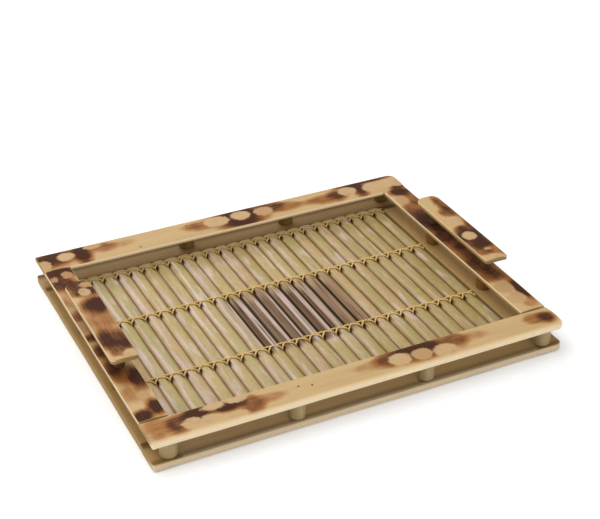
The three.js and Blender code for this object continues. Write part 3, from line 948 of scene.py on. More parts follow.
def vertex_places(mesh):
    """The places of a mesh's points, one row for each."""
    places = np.empty(len(mesh.vertices) * 3, np.float32)
    mesh.vertices.foreach_get("co", places)
    return places.reshape(-1, 3).astype(float)


def evaluated_mesh(holder):
    """The mesh that an object's modifiers give, as a plain mesh. The object is removed."""
    graph = bpy.context.evaluated_depsgraph_get()
    mesh = bpy.data.meshes.new_from_object(holder.evaluated_get(graph))
    bpy.data.objects.remove(holder)
    return mesh


def outward(mesh):
    """Merges doubles and turns the faces outwards."""
    work = bmesh.new()
    work.from_mesh(mesh)
    bmesh.ops.remove_doubles(work, verts=work.verts, dist=MERGE_DISTANCE)
    bmesh.ops.recalc_face_normals(work, faces=work.faces)
    work.to_mesh(mesh)
    work.free()
    return mesh


def cut_mesh(mesh, solids, operation):
    """A mesh with closed solids cut from it or joined to it."""
    cutter_mesh = bpy.data.meshes.new("cutter")
    work = bmesh.new()
    for solid in solids:
        solid(work)
    bmesh.ops.recalc_face_normals(work, faces=work.faces)
    work.to_mesh(cutter_mesh)
    work.free()
    blank = bpy.data.objects.new("strip_blank", mesh)
    cutter = bpy.data.objects.new("cutter", cutter_mesh)
    for part in (blank, cutter):
        bpy.context.scene.collection.objects.link(part)
    modifier = blank.modifiers.new("cut", "BOOLEAN")
    modifier.operation = operation
    modifier.solver = "EXACT"
    modifier.object = cutter
    result = evaluated_mesh(blank)
    bpy.data.objects.remove(cutter)
    return result


def block_solid(low, high):
    """A maker of a box between two corners."""

    def make(work):
        low_corner, high_corner = Vector(low), Vector(high)
        size = Matrix.Diagonal((*(high_corner - low_corner), 1.0))
        place = Matrix.Translation((low_corner + high_corner) / 2)
        bmesh.ops.create_cube(work, size=1.0, matrix=place @ size)

    return make


def bore_solid(x, y, low, high, radius, segments):
    """A maker of an upright round bar."""

    def make(work):
        bmesh.ops.create_cone(
            work,
            cap_ends=True,
            segments=segments,
            radius1=radius,
            radius2=radius,
            depth=high - low,
            matrix=Matrix.Translation((x, y, (low + high) / 2)),
        )

    return make


class Strip:
    """A split-bamboo strip in its own frame: X along it, Y across it, the hollow face down on Z 0."""

    # How far apart its rings of points are, and the closest that two may be.
    STEP = 0.00125
    CLOSEST = 2e-5
    # Waves of a hand-split edge: share, turn per metre, and how fast the phase counts.
    WAVES = ((0.55, 38, 1.0), (0.45, 91, 2.3))
    # Where a cut edge ends and the hollow side starts, in worn radii from the edge and below the skin.
    CUT_EDGE = (0.15, 0.9)
    HOLLOW = (0.8, 1.6)
    # Where the painted shade on the hollow side starts and is full, as shares of the half width.
    EDGE_SHADE_SPAN = (0.35, 0.8)
    # How softly the pale cut ends where two rails butt, and how far in from the outer edge that shows.
    BUTT_FADE = 0.5 * MM
    BUTT_EDGE = 2 * MM
    # Points across each face of a ring and round each of its arrises, and round a rounded end.
    TOP_POINTS = 30
    BOTTOM_POINTS = 22
    SIDE_POINTS = 5
    ARC_POINTS = 5
    END_ARC_POINTS = 10

    def __init__(self, settings, node, size, place, seed, seam, land=0.0, rounds=(0, 0, 0, 0), shade_share=1.0):
        self.settings = settings
        self.node = node
        self.length, self.width, self.thickness = size
        self.place = place
        self.seed = seed
        self.seam = seam
        self.land = land
        self.rounds = rounds
        self.shade_share = shade_share

    def crown_height(self, y):
        """Height of the skin across the strip."""
        radius = self.settings.skin_radius
        centre = self.thickness - math.sqrt(radius**2 - (self.land / 2) ** 2)
        return np.minimum(self.thickness, centre + np.sqrt(radius**2 - y**2))

    def hollow_height(self, y):
        """Height of the hollow side across the strip."""
        radius = self.settings.hollow_radius
        half = self.width / 2
        return np.sqrt(radius**2 - np.minimum(np.abs(y), half) ** 2) - math.sqrt(radius**2 - half**2)

    def stations(self):
        """Places along the strip, closer together where its ends are rounded."""
        half = self.length / 2
        count = max(2, round(self.length / self.STEP))
        places = [np.linspace(-half, half, count + 1)]
        turn = 1 - np.cos(np.linspace(0, math.pi / 2, self.END_ARC_POINTS))
        for size in (self.settings.edge_round, *self.rounds):
            places += [-half + size * turn, half - size * turn]
        together = np.unique(np.round(np.concatenate(places), 7))
        keep = np.concatenate([[True], np.diff(together) > self.CLOSEST])
        keep[-1] = True
        return together[keep]

    def wander(self, x, phase):
        """A slow, smooth wander between 0 and 1 along the strip."""
        waves = sum(share * np.sin(turn * x + rate * phase) for share, turn, rate in self.WAVES)
        return 0.5 + 0.5 * waves

    def edges(self, x):
        """The two long edges at places along the strip, with the rounds of its corners."""
        half_length, half_width = self.length / 2, self.width / 2

        def corner(radius, distance):
            """How far a rounded corner draws the edge in, by the distance from the strip's end."""
            inside = np.clip(radius - distance, 0, radius)
            return radius - np.sqrt(np.maximum(radius**2 - inside**2, 0))

        sway = self.settings.edge_sway
        low = corner(self.rounds[0], x + half_length) + corner(self.rounds[1], half_length - x)
        high = corner(self.rounds[3], x + half_length) + corner(self.rounds[2], half_length - x)
        low = -half_width + np.maximum(low, sway * self.wander(x, 1 + self.seed))
        high = half_width - np.maximum(high, sway * self.wander(x, 4 + self.seed))
        return low, high

    def rings(self):
        """Rings of points round the strip, one at each station."""
        x = self.stations()
        low, high = self.edges(x)
        wear = self.settings.edge_round
        distance = np.minimum(x + self.length / 2, self.length / 2 - x)
        inside = np.clip(wear - distance, 0, wear)
        inset = wear - np.sqrt(np.maximum(wear**2 - inside**2, 0))
        low, high = low + inset, high - inset
        radius = np.maximum(wear - inset, 0.05 * wear)
        share = np.linspace(0, 1, self.TOP_POINTS)
        y_top = (low + radius)[:, None] + share * (high - low - 2 * radius)[:, None]
        share = np.linspace(1, 0, self.BOTTOM_POINTS)
        y_bottom = (low + radius)[:, None] + share * (high - low - 2 * radius)[:, None]
        top = self.crown_height(y_top) - inset[:, None]
        bottom = self.hollow_height(y_bottom) + inset[:, None]
        turn = np.linspace(0, math.pi / 2, self.ARC_POINTS)[1:-1]
        rise = np.linspace(0, 1, self.SIDE_POINTS)

        def side(edge, sign, upper, lower):
            """From the upper arris down to the lower one, on the low or the high edge."""
            y_mid = edge - sign * radius
            up_centre, down_centre = upper - radius, lower + radius
            y_arc = y_mid[:, None] + sign * radius[:, None] * np.sin(turn)
            z_arc = up_centre[:, None] + radius[:, None] * np.cos(turn)
            z_side = up_centre[:, None] + rise * (down_centre - up_centre)[:, None]
            y_side = np.repeat(edge[:, None], len(rise), axis=1)
            y_foot = y_mid[:, None] + sign * radius[:, None] * np.cos(turn)
            z_foot = down_centre[:, None] - radius[:, None] * np.sin(turn)
            return np.hstack([y_arc, y_side, y_foot]), np.hstack([z_arc, z_side, z_foot])

        right_y, right_z = side(high, 1, top[:, -1], bottom[:, 0])
        left_y, left_z = side(low, -1, top[:, 0], bottom[:, -1])
        y = np.hstack([y_top, right_y, y_bottom, left_y[:, ::-1]])
        z = np.hstack([top, right_z, bottom, left_z[:, ::-1]])
        return np.dstack([np.repeat(x[:, None], y.shape[1], axis=1), y, z])

    def blank(self):
        """The plain strip as a closed mesh."""
        rings = self.rings()
        stations, points, _ = rings.shape
        index = np.arange(stations * points).reshape(stations, points)
        beside = np.roll(index, -1, axis=1)
        quads = np.stack([index[:-1], beside[:-1], beside[1:], index[1:]], axis=-1).reshape(-1, 4)
        first, last = len(rings) * points, len(rings) * points + 1
        caps = [(first, int(b), int(a)) for a, b in zip(index[0], beside[0])]
        caps += [(last, int(a), int(b)) for a, b in zip(index[-1], beside[-1])]
        centres = np.array([rings[0].mean(axis=0), rings[-1].mean(axis=0)])
        mesh = bpy.data.meshes.new("strip_blank")
        mesh.from_pydata(np.vstack([rings.reshape(-1, 3), centres]), [], quads.tolist() + caps)
        return outward(mesh)

    def finished(self, mesh):
        """Writes what the finish reads from each point, and puts the strip in its place."""
        points = vertex_places(mesh)
        low, high = self.edges(points[:, 0])
        set_attribute(mesh, "strip_place", points / MM, "FLOAT_VECTOR")
        set_attribute(mesh, "piece_seed", np.full(len(points), self.seed))
        self.mark_sides(mesh, points, low, high)
        self.mark_cuts(mesh, points, low)
        mesh.transform(self.place)
        on_tray = vertex_places(mesh) / MM
        set_attribute(mesh, "burn", burn_depth(on_tray, BURNS[self.node]))
        distance, smoke = masked_spots(on_tray, SPOTS[self.node])
        set_attribute(mesh, "spot", distance)
        set_attribute(mesh, "smoke", smoke)
        return mesh

    def depth(self, points):
        """How far points lie below the skin."""
        half = self.width / 2
        return self.crown_height(np.clip(points[:, 1], -half, half)) - points[:, 2]

    def mark_sides(self, mesh, points, low, high):
        """Marks the skin, the hollow side and the cut edges, with the painted highlight along the front edge
        and the painted light on the lip under it.
        """
        x, y = points[:, 0], points[:, 1]
        half, wear = self.length / 2, self.settings.edge_round
        from_outer = y - low
        to_side = np.minimum.reduce([from_outer, high - y, x + half, half - x])
        on_hollow = smooth_step(*self.HOLLOW, self.depth(points) / wear)
        on_edge = 1 - smooth_step(*self.CUT_EDGE, to_side / wear)
        # Painted light on the lower front rail's lip, and a painted highlight on the front rail's skin.
        lip = LIT_LIPS.get(self.node, 0.0) * (1 - smooth_step(0, self.settings.lit_lip_width, from_outer))
        rim = FRONT_HIGHLIGHTS.get(self.node, 0.0) * (1 - smooth_step(0, self.settings.front_highlight_width, from_outer))
        # Painted shade on the hollow side towards its long edges.
        shade_share = self.shade_share * smooth_step(*self.EDGE_SHADE_SPAN, np.abs(y) / (self.width / 2))
        set_attribute(mesh, "cut_edge", np.maximum(on_edge, lip * on_hollow))
        set_attribute(mesh, "skin_side", 1 - on_hollow)
        set_attribute(mesh, "near_edge", shade_share)
        set_attribute(mesh, "rim", rim)

    def mark_cuts(self, mesh, points, low):
        """Marks how pale the cut edges are: less so deep under the skin, and not where two rails butt."""
        x, y = points[:, 0], points[:, 1]
        outer, inner, pale_depth = PALE_CUTS[self.node]
        near_skin = 1 - smooth_step(0.3 * pale_depth * MM, pale_depth * MM, self.depth(points))
        outside = outer if self.node.endswith("_front") else outer * near_skin
        pale = np.where(y < 0, outside, inner * near_skin)
        butted = smooth_step(self.seam - self.BUTT_FADE, self.seam + self.BUTT_FADE, np.abs(x))
        inside = smooth_step(0, self.BUTT_EDGE, y - low)
        set_attribute(mesh, "pale_cut", pale * (1 - butted * inside))


def smooth_step(low, high, values):
    """0 at the low value, 1 at the high one, with a smooth step between them."""
    share = np.clip((values - low) / (high - low), 0, 1)
    return share * share * (3 - 2 * share)


def reach(points, mark):
    """How far points are from a mark's middle, as a share of its half sizes."""
    return np.hypot((points[:, 0] - mark[0]) / mark[2], (points[:, 1] - mark[1]) / mark[3])


def burn_depth(points, burns):
    """How deeply points are burnt by the flame marks together."""
    spared = np.ones(len(points))
    for burn in burns:
        spared *= 1 - burn[4] * (1 - smooth_step(*BURN_FADE, reach(points, burn)))
    return 1 - spared


def masked_spots(points, spots):
    """Distance in millimetres from the nearest masked spot, negative inside it, and its smoke."""
    nearest, smoke = np.full(len(points), FAR_FROM_SPOTS), np.zeros(len(points))
    for spot in spots:
        distance = (reach(points, spot) - 1) * min(spot[2], spot[3])
        smoke = np.where(distance < nearest, spot[4], smoke)
        nearest = np.minimum(nearest, distance)
    return nearest, smoke


def frame_matrix(along, across, origin):
    """Takes a strip's own frame to the tray: X along, Y across, from its origin."""
    up = Vector(along).cross(Vector(across))
    columns = Matrix((along, across, up)).transposed()
    return Matrix.Translation(origin) @ columns.to_4x4()


def rail_place(side, is_upper, low, high):
    """Where a rail's own frame lies: upper rails skin up, lower rails turned over, skin down."""
    along, across = SIDES[side]
    if is_upper:
        return frame_matrix(along, across, ((low.x + high.x) / 2, (low.y + high.y) / 2, low.z))
    turned = tuple(-value for value in along)
    return frame_matrix(turned, across, ((low.x + high.x) / 2, (low.y + high.y) / 2, high.z))


def nail_places(side):
    """Places of a short side's nails along its rail's own X."""
    along = Vector(SIDES[side][0])
    middles = (sum(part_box(f"handle_nail_{side}_{end}"), Vector()) / 2 for end in ("front", "back"))
    return [middle.dot(along) for middle in middles]


def is_scorched(node, place):
    """Whether a place on a strip is deep in a burn and outside the masked spots."""
    points = np.array([place / MM])
    distance, _ = masked_spots(points, SPOTS[node])
    return burn_depth(points, BURNS[node])[0] > DEEP_BURN and distance[0] > 0


def long_rail(settings, side, level, seed):
    """A long rail with its mortises, and the slats' ledge on a lower one."""
    node = f"{level}_rail_{side}"
    low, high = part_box(node)
    size = high - low
    is_upper = level == "upper"
    short_low, short_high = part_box("upper_rail_right")
    ends = (settings.left_round, settings.right_round)
    starts_left = (side == "front") == is_upper
    strip = Strip(
        settings,
        node,
        (size.x, size.y, size.z),
        rail_place(side, is_upper, low, high),
        seed=seed,
        seam=short_low.x,
        land=0.0 if is_upper else settings.foot_land,
        rounds=(*(ends if starts_left else ends[::-1]), 0, 0),
    )
    inner = size.y / 2
    gap, overrun = settings.joint_gap, settings.tenon_length
    middle = (short_low.x + short_high.x) / 2
    reach_x = settings.tenon_width / 2 + gap
    floor = settings.tenon_rise - gap
    roof = settings.tenon_rise + settings.tenon_thickness + gap
    cuts = [
        block_solid((x - reach_x, inner - settings.tenon_length, floor), (x + reach_x, inner + overrun, roof))
        for x in (-middle, middle)
    ]
    if not is_upper:
        ledge_low = (-short_low.x, inner - settings.ledge_width, -overrun)
        cuts.append(block_solid(ledge_low, (short_low.x, inner + overrun, settings.ledge_depth)))
    return node, strip.finished(cut_mesh(strip.blank(), cuts, "DIFFERENCE"))


def short_rail(settings, pegs, side, level, seed):
    """A short rail with its tenons and the bores for the handle's nails."""
    node = f"{level}_rail_{side}"
    low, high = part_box(node)
    is_upper = level == "upper"
    size = high - low
    gap = settings.joint_gap
    length = 2 * (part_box(f"{level}_rail_back")[0].y - gap)
    strip = Strip(
        settings,
        node,
        (length, size.x, size.z),
        rail_place(side, is_upper, low, high),
        seed=seed,
        seam=length / 2 - settings.edge_round,
        land=0.0 if is_upper else settings.foot_land,
        shade_share=1.0 if is_upper else LOWER_RAIL_SHADE,
    )
    half, root = settings.tenon_width / 2, 2 * settings.tenon_thickness
    tip = length / 2 + settings.tenon_length
    floor, roof = settings.tenon_rise, settings.tenon_rise + settings.tenon_thickness
    tenons = [
        block_solid((length / 2 - root, -half, floor), (tip, half, roof)),
        block_solid((-tip, -half, floor), (root - length / 2, half, roof)),
    ]
    mesh = cut_mesh(strip.blank(), tenons, "UNION")
    turn = 1 if is_upper else -1
    below = -settings.tenon_length
    above = size.z - below if is_upper else size.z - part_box(f"handle_nail_{side}_front")[0].z + gap
    bores = [
        bore_solid(turn * x, 0, below, above, pegs.bore_radius, RAIL_BORE_SIDES)
        for x in nail_places(side)
    ]
    return node, strip.finished(cut_mesh(mesh, bores, "DIFFERENCE"))


class TRAY_OT_build_rails(bpy.types.Operator):
    """Make the upper and lower rails of split bamboo"""

    bl_idname = "tray.build_rails"
    bl_label = "Build Rails"

    def execute(self, context):
        settings, pegs = context.scene.tray_strips, context.scene.tray_pegs
        plain, brighter_hollow = settings.hollow_colour, settings.lit_hollow_colour
        skin = strip_finish("rail_skin", settings, settings.skin_colour, plain)
        long_underside = strip_finish("long_rail_underside", settings, settings.spot_colour, plain)
        # The short lower rails' hollow side gets painted light: a lighter hollow colour.
        short_underside = strip_finish("short_rail_underside", settings, settings.spot_colour, brighter_hollow)
        slots = {"upper": "scorched_skin", "lower": "split_bamboo"}
        seed = 1.0
        for level, slot in slots.items():
            for side in (*LONG_SIDES, *SHORT_SIDES):
                if side in LONG_SIDES:
                    node, mesh = long_rail(settings, side, level, seed)
                    underside = long_underside
                else:
                    node, mesh = short_rail(settings, pegs, side, level, seed)
                    underside = short_underside
                new_piece(f"{node}_bamboo", mesh, skin if level == "upper" else underside, slot, node)
                seed += 1.0
        return {"FINISHED"}


class TRAY_OT_build_handles(bpy.types.Operator):
    """Make the raised handle strips over the short sides"""

    bl_idname = "tray.build_handles"
    bl_label = "Build Handles"

    def execute(self, context):
        settings, pegs = context.scene.tray_strips, context.scene.tray_pegs
        material = strip_finish("handle_skin", settings, settings.skin_colour, settings.hollow_colour)
        for seed, side in enumerate(SHORT_SIDES, HANDLE_SEED):
            node = f"handle_{side}"
            low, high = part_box(node)
            size = high - low
            front, back = settings.handle_front_round, settings.handle_back_round
            start, end = (back, front) if side == "left" else (front, back)
            strip = Strip(
                settings,
                node,
                (size.y, size.x, size.z),
                rail_place(side, True, low, high),
                seed=float(seed),
                seam=size.y / 2 - settings.edge_round,
                rounds=(start, end, end, start),
            )
            below = -pegs.nail_point
            above = size.z - below
            recess = size.z - pegs.nail_head_height - settings.joint_gap
            head = pegs.nail_head_radius + pegs.head_clearance
            mesh = strip.blank()
            for bottom, radius in ((below, pegs.bore_radius), (recess, head)):
                bores = [
                    bore_solid(x, 0, bottom, above, radius, HANDLE_BORE_SIDES)
                    for x in nail_places(side)
                ]
                mesh = cut_mesh(mesh, bores, "DIFFERENCE")
            new_piece(f"{node}_bamboo", strip.finished(mesh), material, "scorched_handle", node)
        return {"FINISHED"}


def run_tree(tree, values, base=None):
    """The mesh that a geometry tree makes from its named inputs, and a base mesh where it takes one."""
    holder = bpy.data.objects.new("tree_holder", base or bpy.data.meshes.new("tree_holder"))
    bpy.context.scene.collection.objects.link(holder)
    modifier = holder.modifiers.new("tree", "NODES")
    modifier.node_group = tree
    names = {item.name: item.identifier for item in tree.interface.items_tree if item.in_out == "INPUT"}
    for name, value in values.items():
        modifier[names[name]] = value
    mesh = evaluated_mesh(holder)
    if not mesh.polygons:
        raise RuntimeError(f"the tree {tree.name} made no faces")
    return outward(mesh)


def stored(desk, geometry, name, value, kind="FLOAT"):
    """Geometry with a named value on each point."""
    inputs = {"Geometry": geometry, "Name": name, "Value": value}
    return desk.result("GeometryNodeStoreNamedAttribute", inputs, data_type=kind, domain="POINT")


def moved(desk, geometry, place):
    """Geometry with its points put at a place worked out for each."""
    return desk.result("GeometryNodeSetPosition", {"Geometry": geometry, "Position": place})


def swept(desk, path, profile, is_capped=True):
    """A profile swept along a path."""
    inputs = {"Curve": path, "Profile Curve": profile, "Fill Caps": is_capped}
    return desk.result("GeometryNodeCurveToMesh", inputs)


def circle(desk, points, radius):
    """A round curve of so many points."""
    return desk.result("GeometryNodeCurvePrimitiveCircle", {"Resolution": points, "Radius": radius})


def resampled(desk, curve, points):
    """A curve with so many even points."""
    return desk.result("GeometryNodeResampleCurve", {"Curve": curve, "Count": points})


def tree_end(desk, geometry, made, material):
    """Ends a tree: real geometry with its finish."""
    real = desk.result("GeometryNodeRealizeInstances", {"Geometry": geometry})
    painted = desk.result("GeometryNodeSetMaterial", {"Geometry": real, "Material": material})
    desk.feed(made["Geometry"], painted)


def slat_tree():
    """A slat along Y: crowned on top, rounded down to a spread foot, notched where the twine passes."""
    sizes = ("Width", "Foot", "Length", "Thickness", "Edge Thickness", "Toe", "Shoulder")
    notches = ("Notch Back", "Notch Front", "Notch Depth")
    rows = [f"Row {number}" for number in range(1, len(TWINE_ROWS) + 1)]
    inputs = {"Middle": "Vector", **floats(*sizes, *notches, *rows, "Sway", "Seed"), "Finish": "Material"}
    tree, desk, given, made = shape_tree("slat", inputs)
    upper_half = desk.times(given["Width"], 0.5)
    half = desk.plus(upper_half, given["Foot"])
    turn = desk.times(desk.add("GeometryNodeSplineParameter").outputs["Factor"], 2 * math.pi)
    x = desk.times(desk.math("COSINE", turn), half)
    out = desk.math("ABSOLUTE", x)
    share = desk.math("DIVIDE", out, upper_half, clamp=True)
    past = desk.minus(out, desk.minus(half, given["Shoulder"]))
    corner = desk.math("DIVIDE", past, given["Shoulder"], clamp=True)
    flat = desk.math("SQRT", desk.minus(1.0, desk.times(corner, corner)))
    fall = desk.minus(given["Edge Thickness"], given["Toe"])
    drop = desk.times(fall, desk.minus(1.0, flat))
    crown = desk.minus(given["Thickness"], given["Edge Thickness"])
    dome = desk.times(crown, desk.minus(1.0, desk.times(share, share)))
    top = desk.minus(desk.plus(given["Edge Thickness"], dome), drop)
    is_top = desk.math("GREATER_THAN", desk.math("SINE", turn), -0.001)
    height = desk.times(top, is_top)
    profile = moved(desk, circle(desk, SLAT_RING, 1.0), desk.joined(x, desk.times(height, -1.0)))
    end = desk.times(given["Length"], 0.5)
    ends = {"Start": desk.joined(y=desk.times(end, -1.0)), "End": desk.joined(y=end)}
    line = desk.result("GeometryNodeCurvePrimitiveLine", ends)
    bar = swept(desk, resampled(desk, line, SLAT_STATIONS), profile)
    place = desk.result("GeometryNodeInputPosition")
    across, along, up = desk.split(place)[:3]
    lengthways = desk.scaled(desk.joined(along, across, up), IN_MILLIMETRES)
    bar = stored(desk, bar, "strip_place", lengthways, "FLOAT_VECTOR")
    bar = stored(desk, bar, "piece_seed", given["Seed"])
    notched = 0.0
    for row in rows:
        behind = desk.minus(along, given[row])
        to_back = desk.math("DIVIDE", behind, given["Notch Back"])
        to_front = desk.math("DIVIDE", desk.times(behind, -1.0), given["Notch Front"])
        near = desk.math("MAXIMUM", to_back, to_front)
        notched = desk.math("MAXIMUM", notched, desk.smooth(near, 1.0, 0.2))
    bar = stored(desk, bar, "at_twine", notched)
    depth = desk.plus(given["Foot"], given["Notch Depth"])
    over_foot = desk.smooth(up, desk.times(given["Toe"], 0.3), given["Toe"])
    cut = desk.times(depth, notched, over_foot)
    left = desk.minus(cut, half)
    right = desk.math("MULTIPLY_ADD", cut, -RIGHT_NOTCH, half)
    inner = desk.math("MINIMUM", desk.math("MAXIMUM", across, left), right)
    bend = desk.noise(desk.joined(along), (9.0, 0.0, 0.0), given["Seed"], detail=1.0)
    shift = desk.times(desk.minus(bend, 0.5), desk.times(given["Sway"], 4.0))
    swayed = desk.joined(desk.plus(inner, shift), along, up)
    bar = moved(desk, bar, desk.vector_math("ADD", swayed, given["Middle"]))
    tree_end(desk, bar, made, given["Finish"])
    return tree


STRAND_INPUTS = {
    "Slats": "Int",
    **floats("Pitch", "Over Height", "Under Height", "Sway", "Radius", "Twist"),
}


def strand_start(desk, given):
    """A straight path with points for each slat, and how many slats each point has passed."""
    line = desk.result("GeometryNodeCurvePrimitiveLine", {"End": (1, 0, 0)})
    path = resampled(desk, line, desk.plus(desk.times(given["Slats"], POINTS_PER_SLAT), 1))
    factor = desk.add("GeometryNodeSplineParameter").outputs["Factor"]
    return path, desk.times(factor, given["Slats"])


def strand_end(desk, given, made, path, passed, y, z):
    """Lays the path along its row and makes a plied strand of it."""
    half_row = desk.times(given["Slats"], 0.5)
    x = desk.times(desk.minus(passed, half_row), given["Pitch"])
    path = moved(desk, path, desk.joined(x, y, z))
    length = desk.add("GeometryNodeSplineParameter").outputs["Length"]
    tilt = desk.math("DIVIDE", desk.times(length, 2 * math.pi), given["Twist"])
    path = desk.result("GeometryNodeSetCurveTilt", {"Curve": path, "Tilt": tilt})
    turn = desk.times(desk.add("GeometryNodeSplineParameter").outputs["Factor"], 4 * math.pi)
    crown = desk.math("MULTIPLY_ADD", desk.math("COSINE", turn), 0.5, 0.5)
    fullness = desk.span(crown, 0.74, 1.0)
    place = desk.result("GeometryNodeInputPosition")
    ring = stored(desk, circle(desk, STRAND_RING, given["Radius"]), "ply_crown", crown)
    ring = moved(desk, ring, desk.scaled(place, desk.joined(fullness, fullness, fullness)))
    desk.feed(made["Geometry"], swept(desk, path, ring))


def strand_tree():
    """One strand of a twine row: over one slat and under the next, crossing the other in each gap."""
    tree, desk, given, made = shape_tree("twine_strand", {**STRAND_INPUTS, "Start": "Float"})
    path, passed = strand_start(desk, given)
    from_first = desk.minus(desk.minus(passed, 0.5), given["Start"])
    from_over = desk.math("WRAP", from_first, 1.0, -1.0)
    # Up steeply out of one gap, slowly down across the slat, and under the next slat.
    risen = desk.times(desk.smooth(from_over, -0.72, -0.46), desk.smooth(from_over, 0.62, 0.3))
    rise = desk.minus(given["Over Height"], given["Under Height"])
    z = desk.math("MULTIPLY_ADD", rise, risen, given["Under Height"])
    back = desk.math("MULTIPLY_ADD", desk.smooth(from_over, -0.64, -0.14), 2.0, -1.0)
    forth = desk.math("MULTIPLY_ADD", desk.smooth(from_over, -0.14, 0.62), -1.7, back)
    swing = desk.math("MULTIPLY_ADD", desk.smooth(from_over, 0.62, 1.0), -0.3, forth)
    strand_end(desk, given, made, path, passed, desk.times(swing, given["Sway"]), z)
    return tree


def back_strand_tree():
    """A strand that shows behind the gaps and is sunk into the slats between them."""
    tree, desk, given, made = shape_tree("twine_back_strand", STRAND_INPUTS)
    path, passed = strand_start(desk, given)
    from_gap = desk.math("ABSOLUTE", desk.math("WRAP", passed, 0.5, -0.5))
    depth = desk.times(desk.minus(given["Under Height"], given["Over Height"]), 0.5)
    z = desk.math("MULTIPLY_ADD", depth, desk.smooth(from_gap, 0.16, 0.36), given["Over Height"])
    strand_end(desk, given, made, path, passed, desk.times(given["Sway"], 1.1), z)
    return tree


def twine_tree(strand, back_strand):
    """A twine row: two strands that swap sides in every gap, one behind them, and a knot at each end."""
    knots = ("Middle Height", "Knot Place", "Knot Radius", "Knot Length")
    inputs = {"Row": "Vector", **STRAND_INPUTS, **floats(*knots, "Seed"), "Finish": "Material"}
    tree, desk, given, made = shape_tree("twine_row", inputs)
    join = desk.add("GeometryNodeJoinGeometry")
    values = {name: given[name] for name in STRAND_INPUTS}
    strands = [desk.group(strand, {**values, "Start": start}) for start in (0.0, 1.0)]
    strands.append(desk.group(back_strand, values))
    for made_strand in strands:
        desk.feed(join.inputs[0], made_strand["Geometry"])
    turns = {
        "Resolution": KNOT_POINTS,
        "Rotations": KNOT_TURNS,
        "Start Radius": given["Knot Radius"],
        "End Radius": given["Knot Radius"],
        "Height": given["Knot Length"],
    }
    ring = circle(desk, KNOT_RING, desk.times(given["Radius"], 0.72))
    ring = stored(desk, ring, "ply_crown", 0.7)
    knot = swept(desk, desk.result("GeometryNodeCurveSpiral", turns), ring)
    lower = desk.times(given["Knot Length"], 0.5)
    for end in (-1.0, 1.0):
        place = desk.joined(desk.times(given["Knot Place"], end), lower, given["Middle Height"])
        laid = {"Geometry": knot, "Translation": place, "Rotation": (math.pi / 2, 0.0, 0.0)}
        desk.feed(join.inputs[0], desk.result("GeometryNodeTransform", laid))
    place = desk.result("GeometryNodeInputPosition")
    row = stored(desk, join.outputs[0], "strip_place", desk.scaled(place, IN_MILLIMETRES), "FLOAT_VECTOR")
    row = stored(desk, row, "piece_seed", given["Seed"])
    row = moved(desk, row, desk.vector_math("ADD", place, given["Row"]))
    tree_end(desk, row, made, given["Finish"])
    return tree


def peg_tree():
    """A round peg or post, turned about its own axis, with worn ends, a bore and a slightly uneven skin."""
    sizes = floats("Radius", "Height", "Bore", "End Round", "Seed")
    tree, desk, given, made = shape_tree("peg", {"Middle": "Vector", **sizes, "Finish": "Material"})
    wall = desk.minus(given["Radius"], given["Bore"])
    section = {"Width": wall, "Height": given["Height"]}
    section = desk.result("GeometryNodeCurvePrimitiveQuadrilateral", section)
    rounding = {"Curve": section, "Radius": given["End Round"], "Count": 4, "Limit Radius": True}
    profile = resampled(desk, desk.result("GeometryNodeFilletCurve", rounding, mode="POLY"), PEG_SECTION)
    middle = desk.times(desk.plus(given["Radius"], given["Bore"]), 0.5)
    tube = swept(desk, circle(desk, PEG_RING, middle), profile, False)
    place = desk.result("GeometryNodeInputPosition")
    x, y, z = desk.split(place)[:3]
    upright = desk.scaled(desk.joined(z, x, y), IN_MILLIMETRES)
    tube = stored(desk, tube, "strip_place", upright, "FLOAT_VECTOR")
    tube = stored(desk, tube, "piece_seed", given["Seed"])
    bulge = desk.noise(place, (110, 110, 30), given["Seed"], detail=2.0)
    shrink = desk.span(bulge, 0.93, 1.0)
    uneven = desk.scaled(place, desk.joined(shrink, shrink, 1.0))
    tube = moved(desk, tube, desk.vector_math("ADD", uneven, given["Middle"]))
    tree_end(desk, tube, made, given["Finish"])
    return tree


def brad_tree():
    """Low domed brad heads at given points."""
    inputs = {"Heads": "Geometry", **floats("Radius", "Rise"), "Finish": "Material"}
    tree, desk, given, made = shape_tree("brad_heads", inputs)
    ball = desk.result("GeometryNodeMeshUVSphere", {"Segments": 16, "Rings": 8, "Radius": 1.0})
    size = desk.joined(given["Radius"], given["Radius"], given["Rise"])
    head = desk.result("GeometryNodeTransform", {"Geometry": ball, "Scale": size})
    heads = desk.result("GeometryNodeInstanceOnPoints", {"Points": given["Heads"], "Instance": head})
    tree_end(desk, heads, made, given["Finish"])
    return tree


def groove_shift(number, unevenness):
    """How far the groove after a hand-split slat lies off its even place; the mat's ends stay."""
    if number in (0, SLAT_COUNT):
        return 0.0
    return unevenness * math.sin(GROOVE_STEP * number)


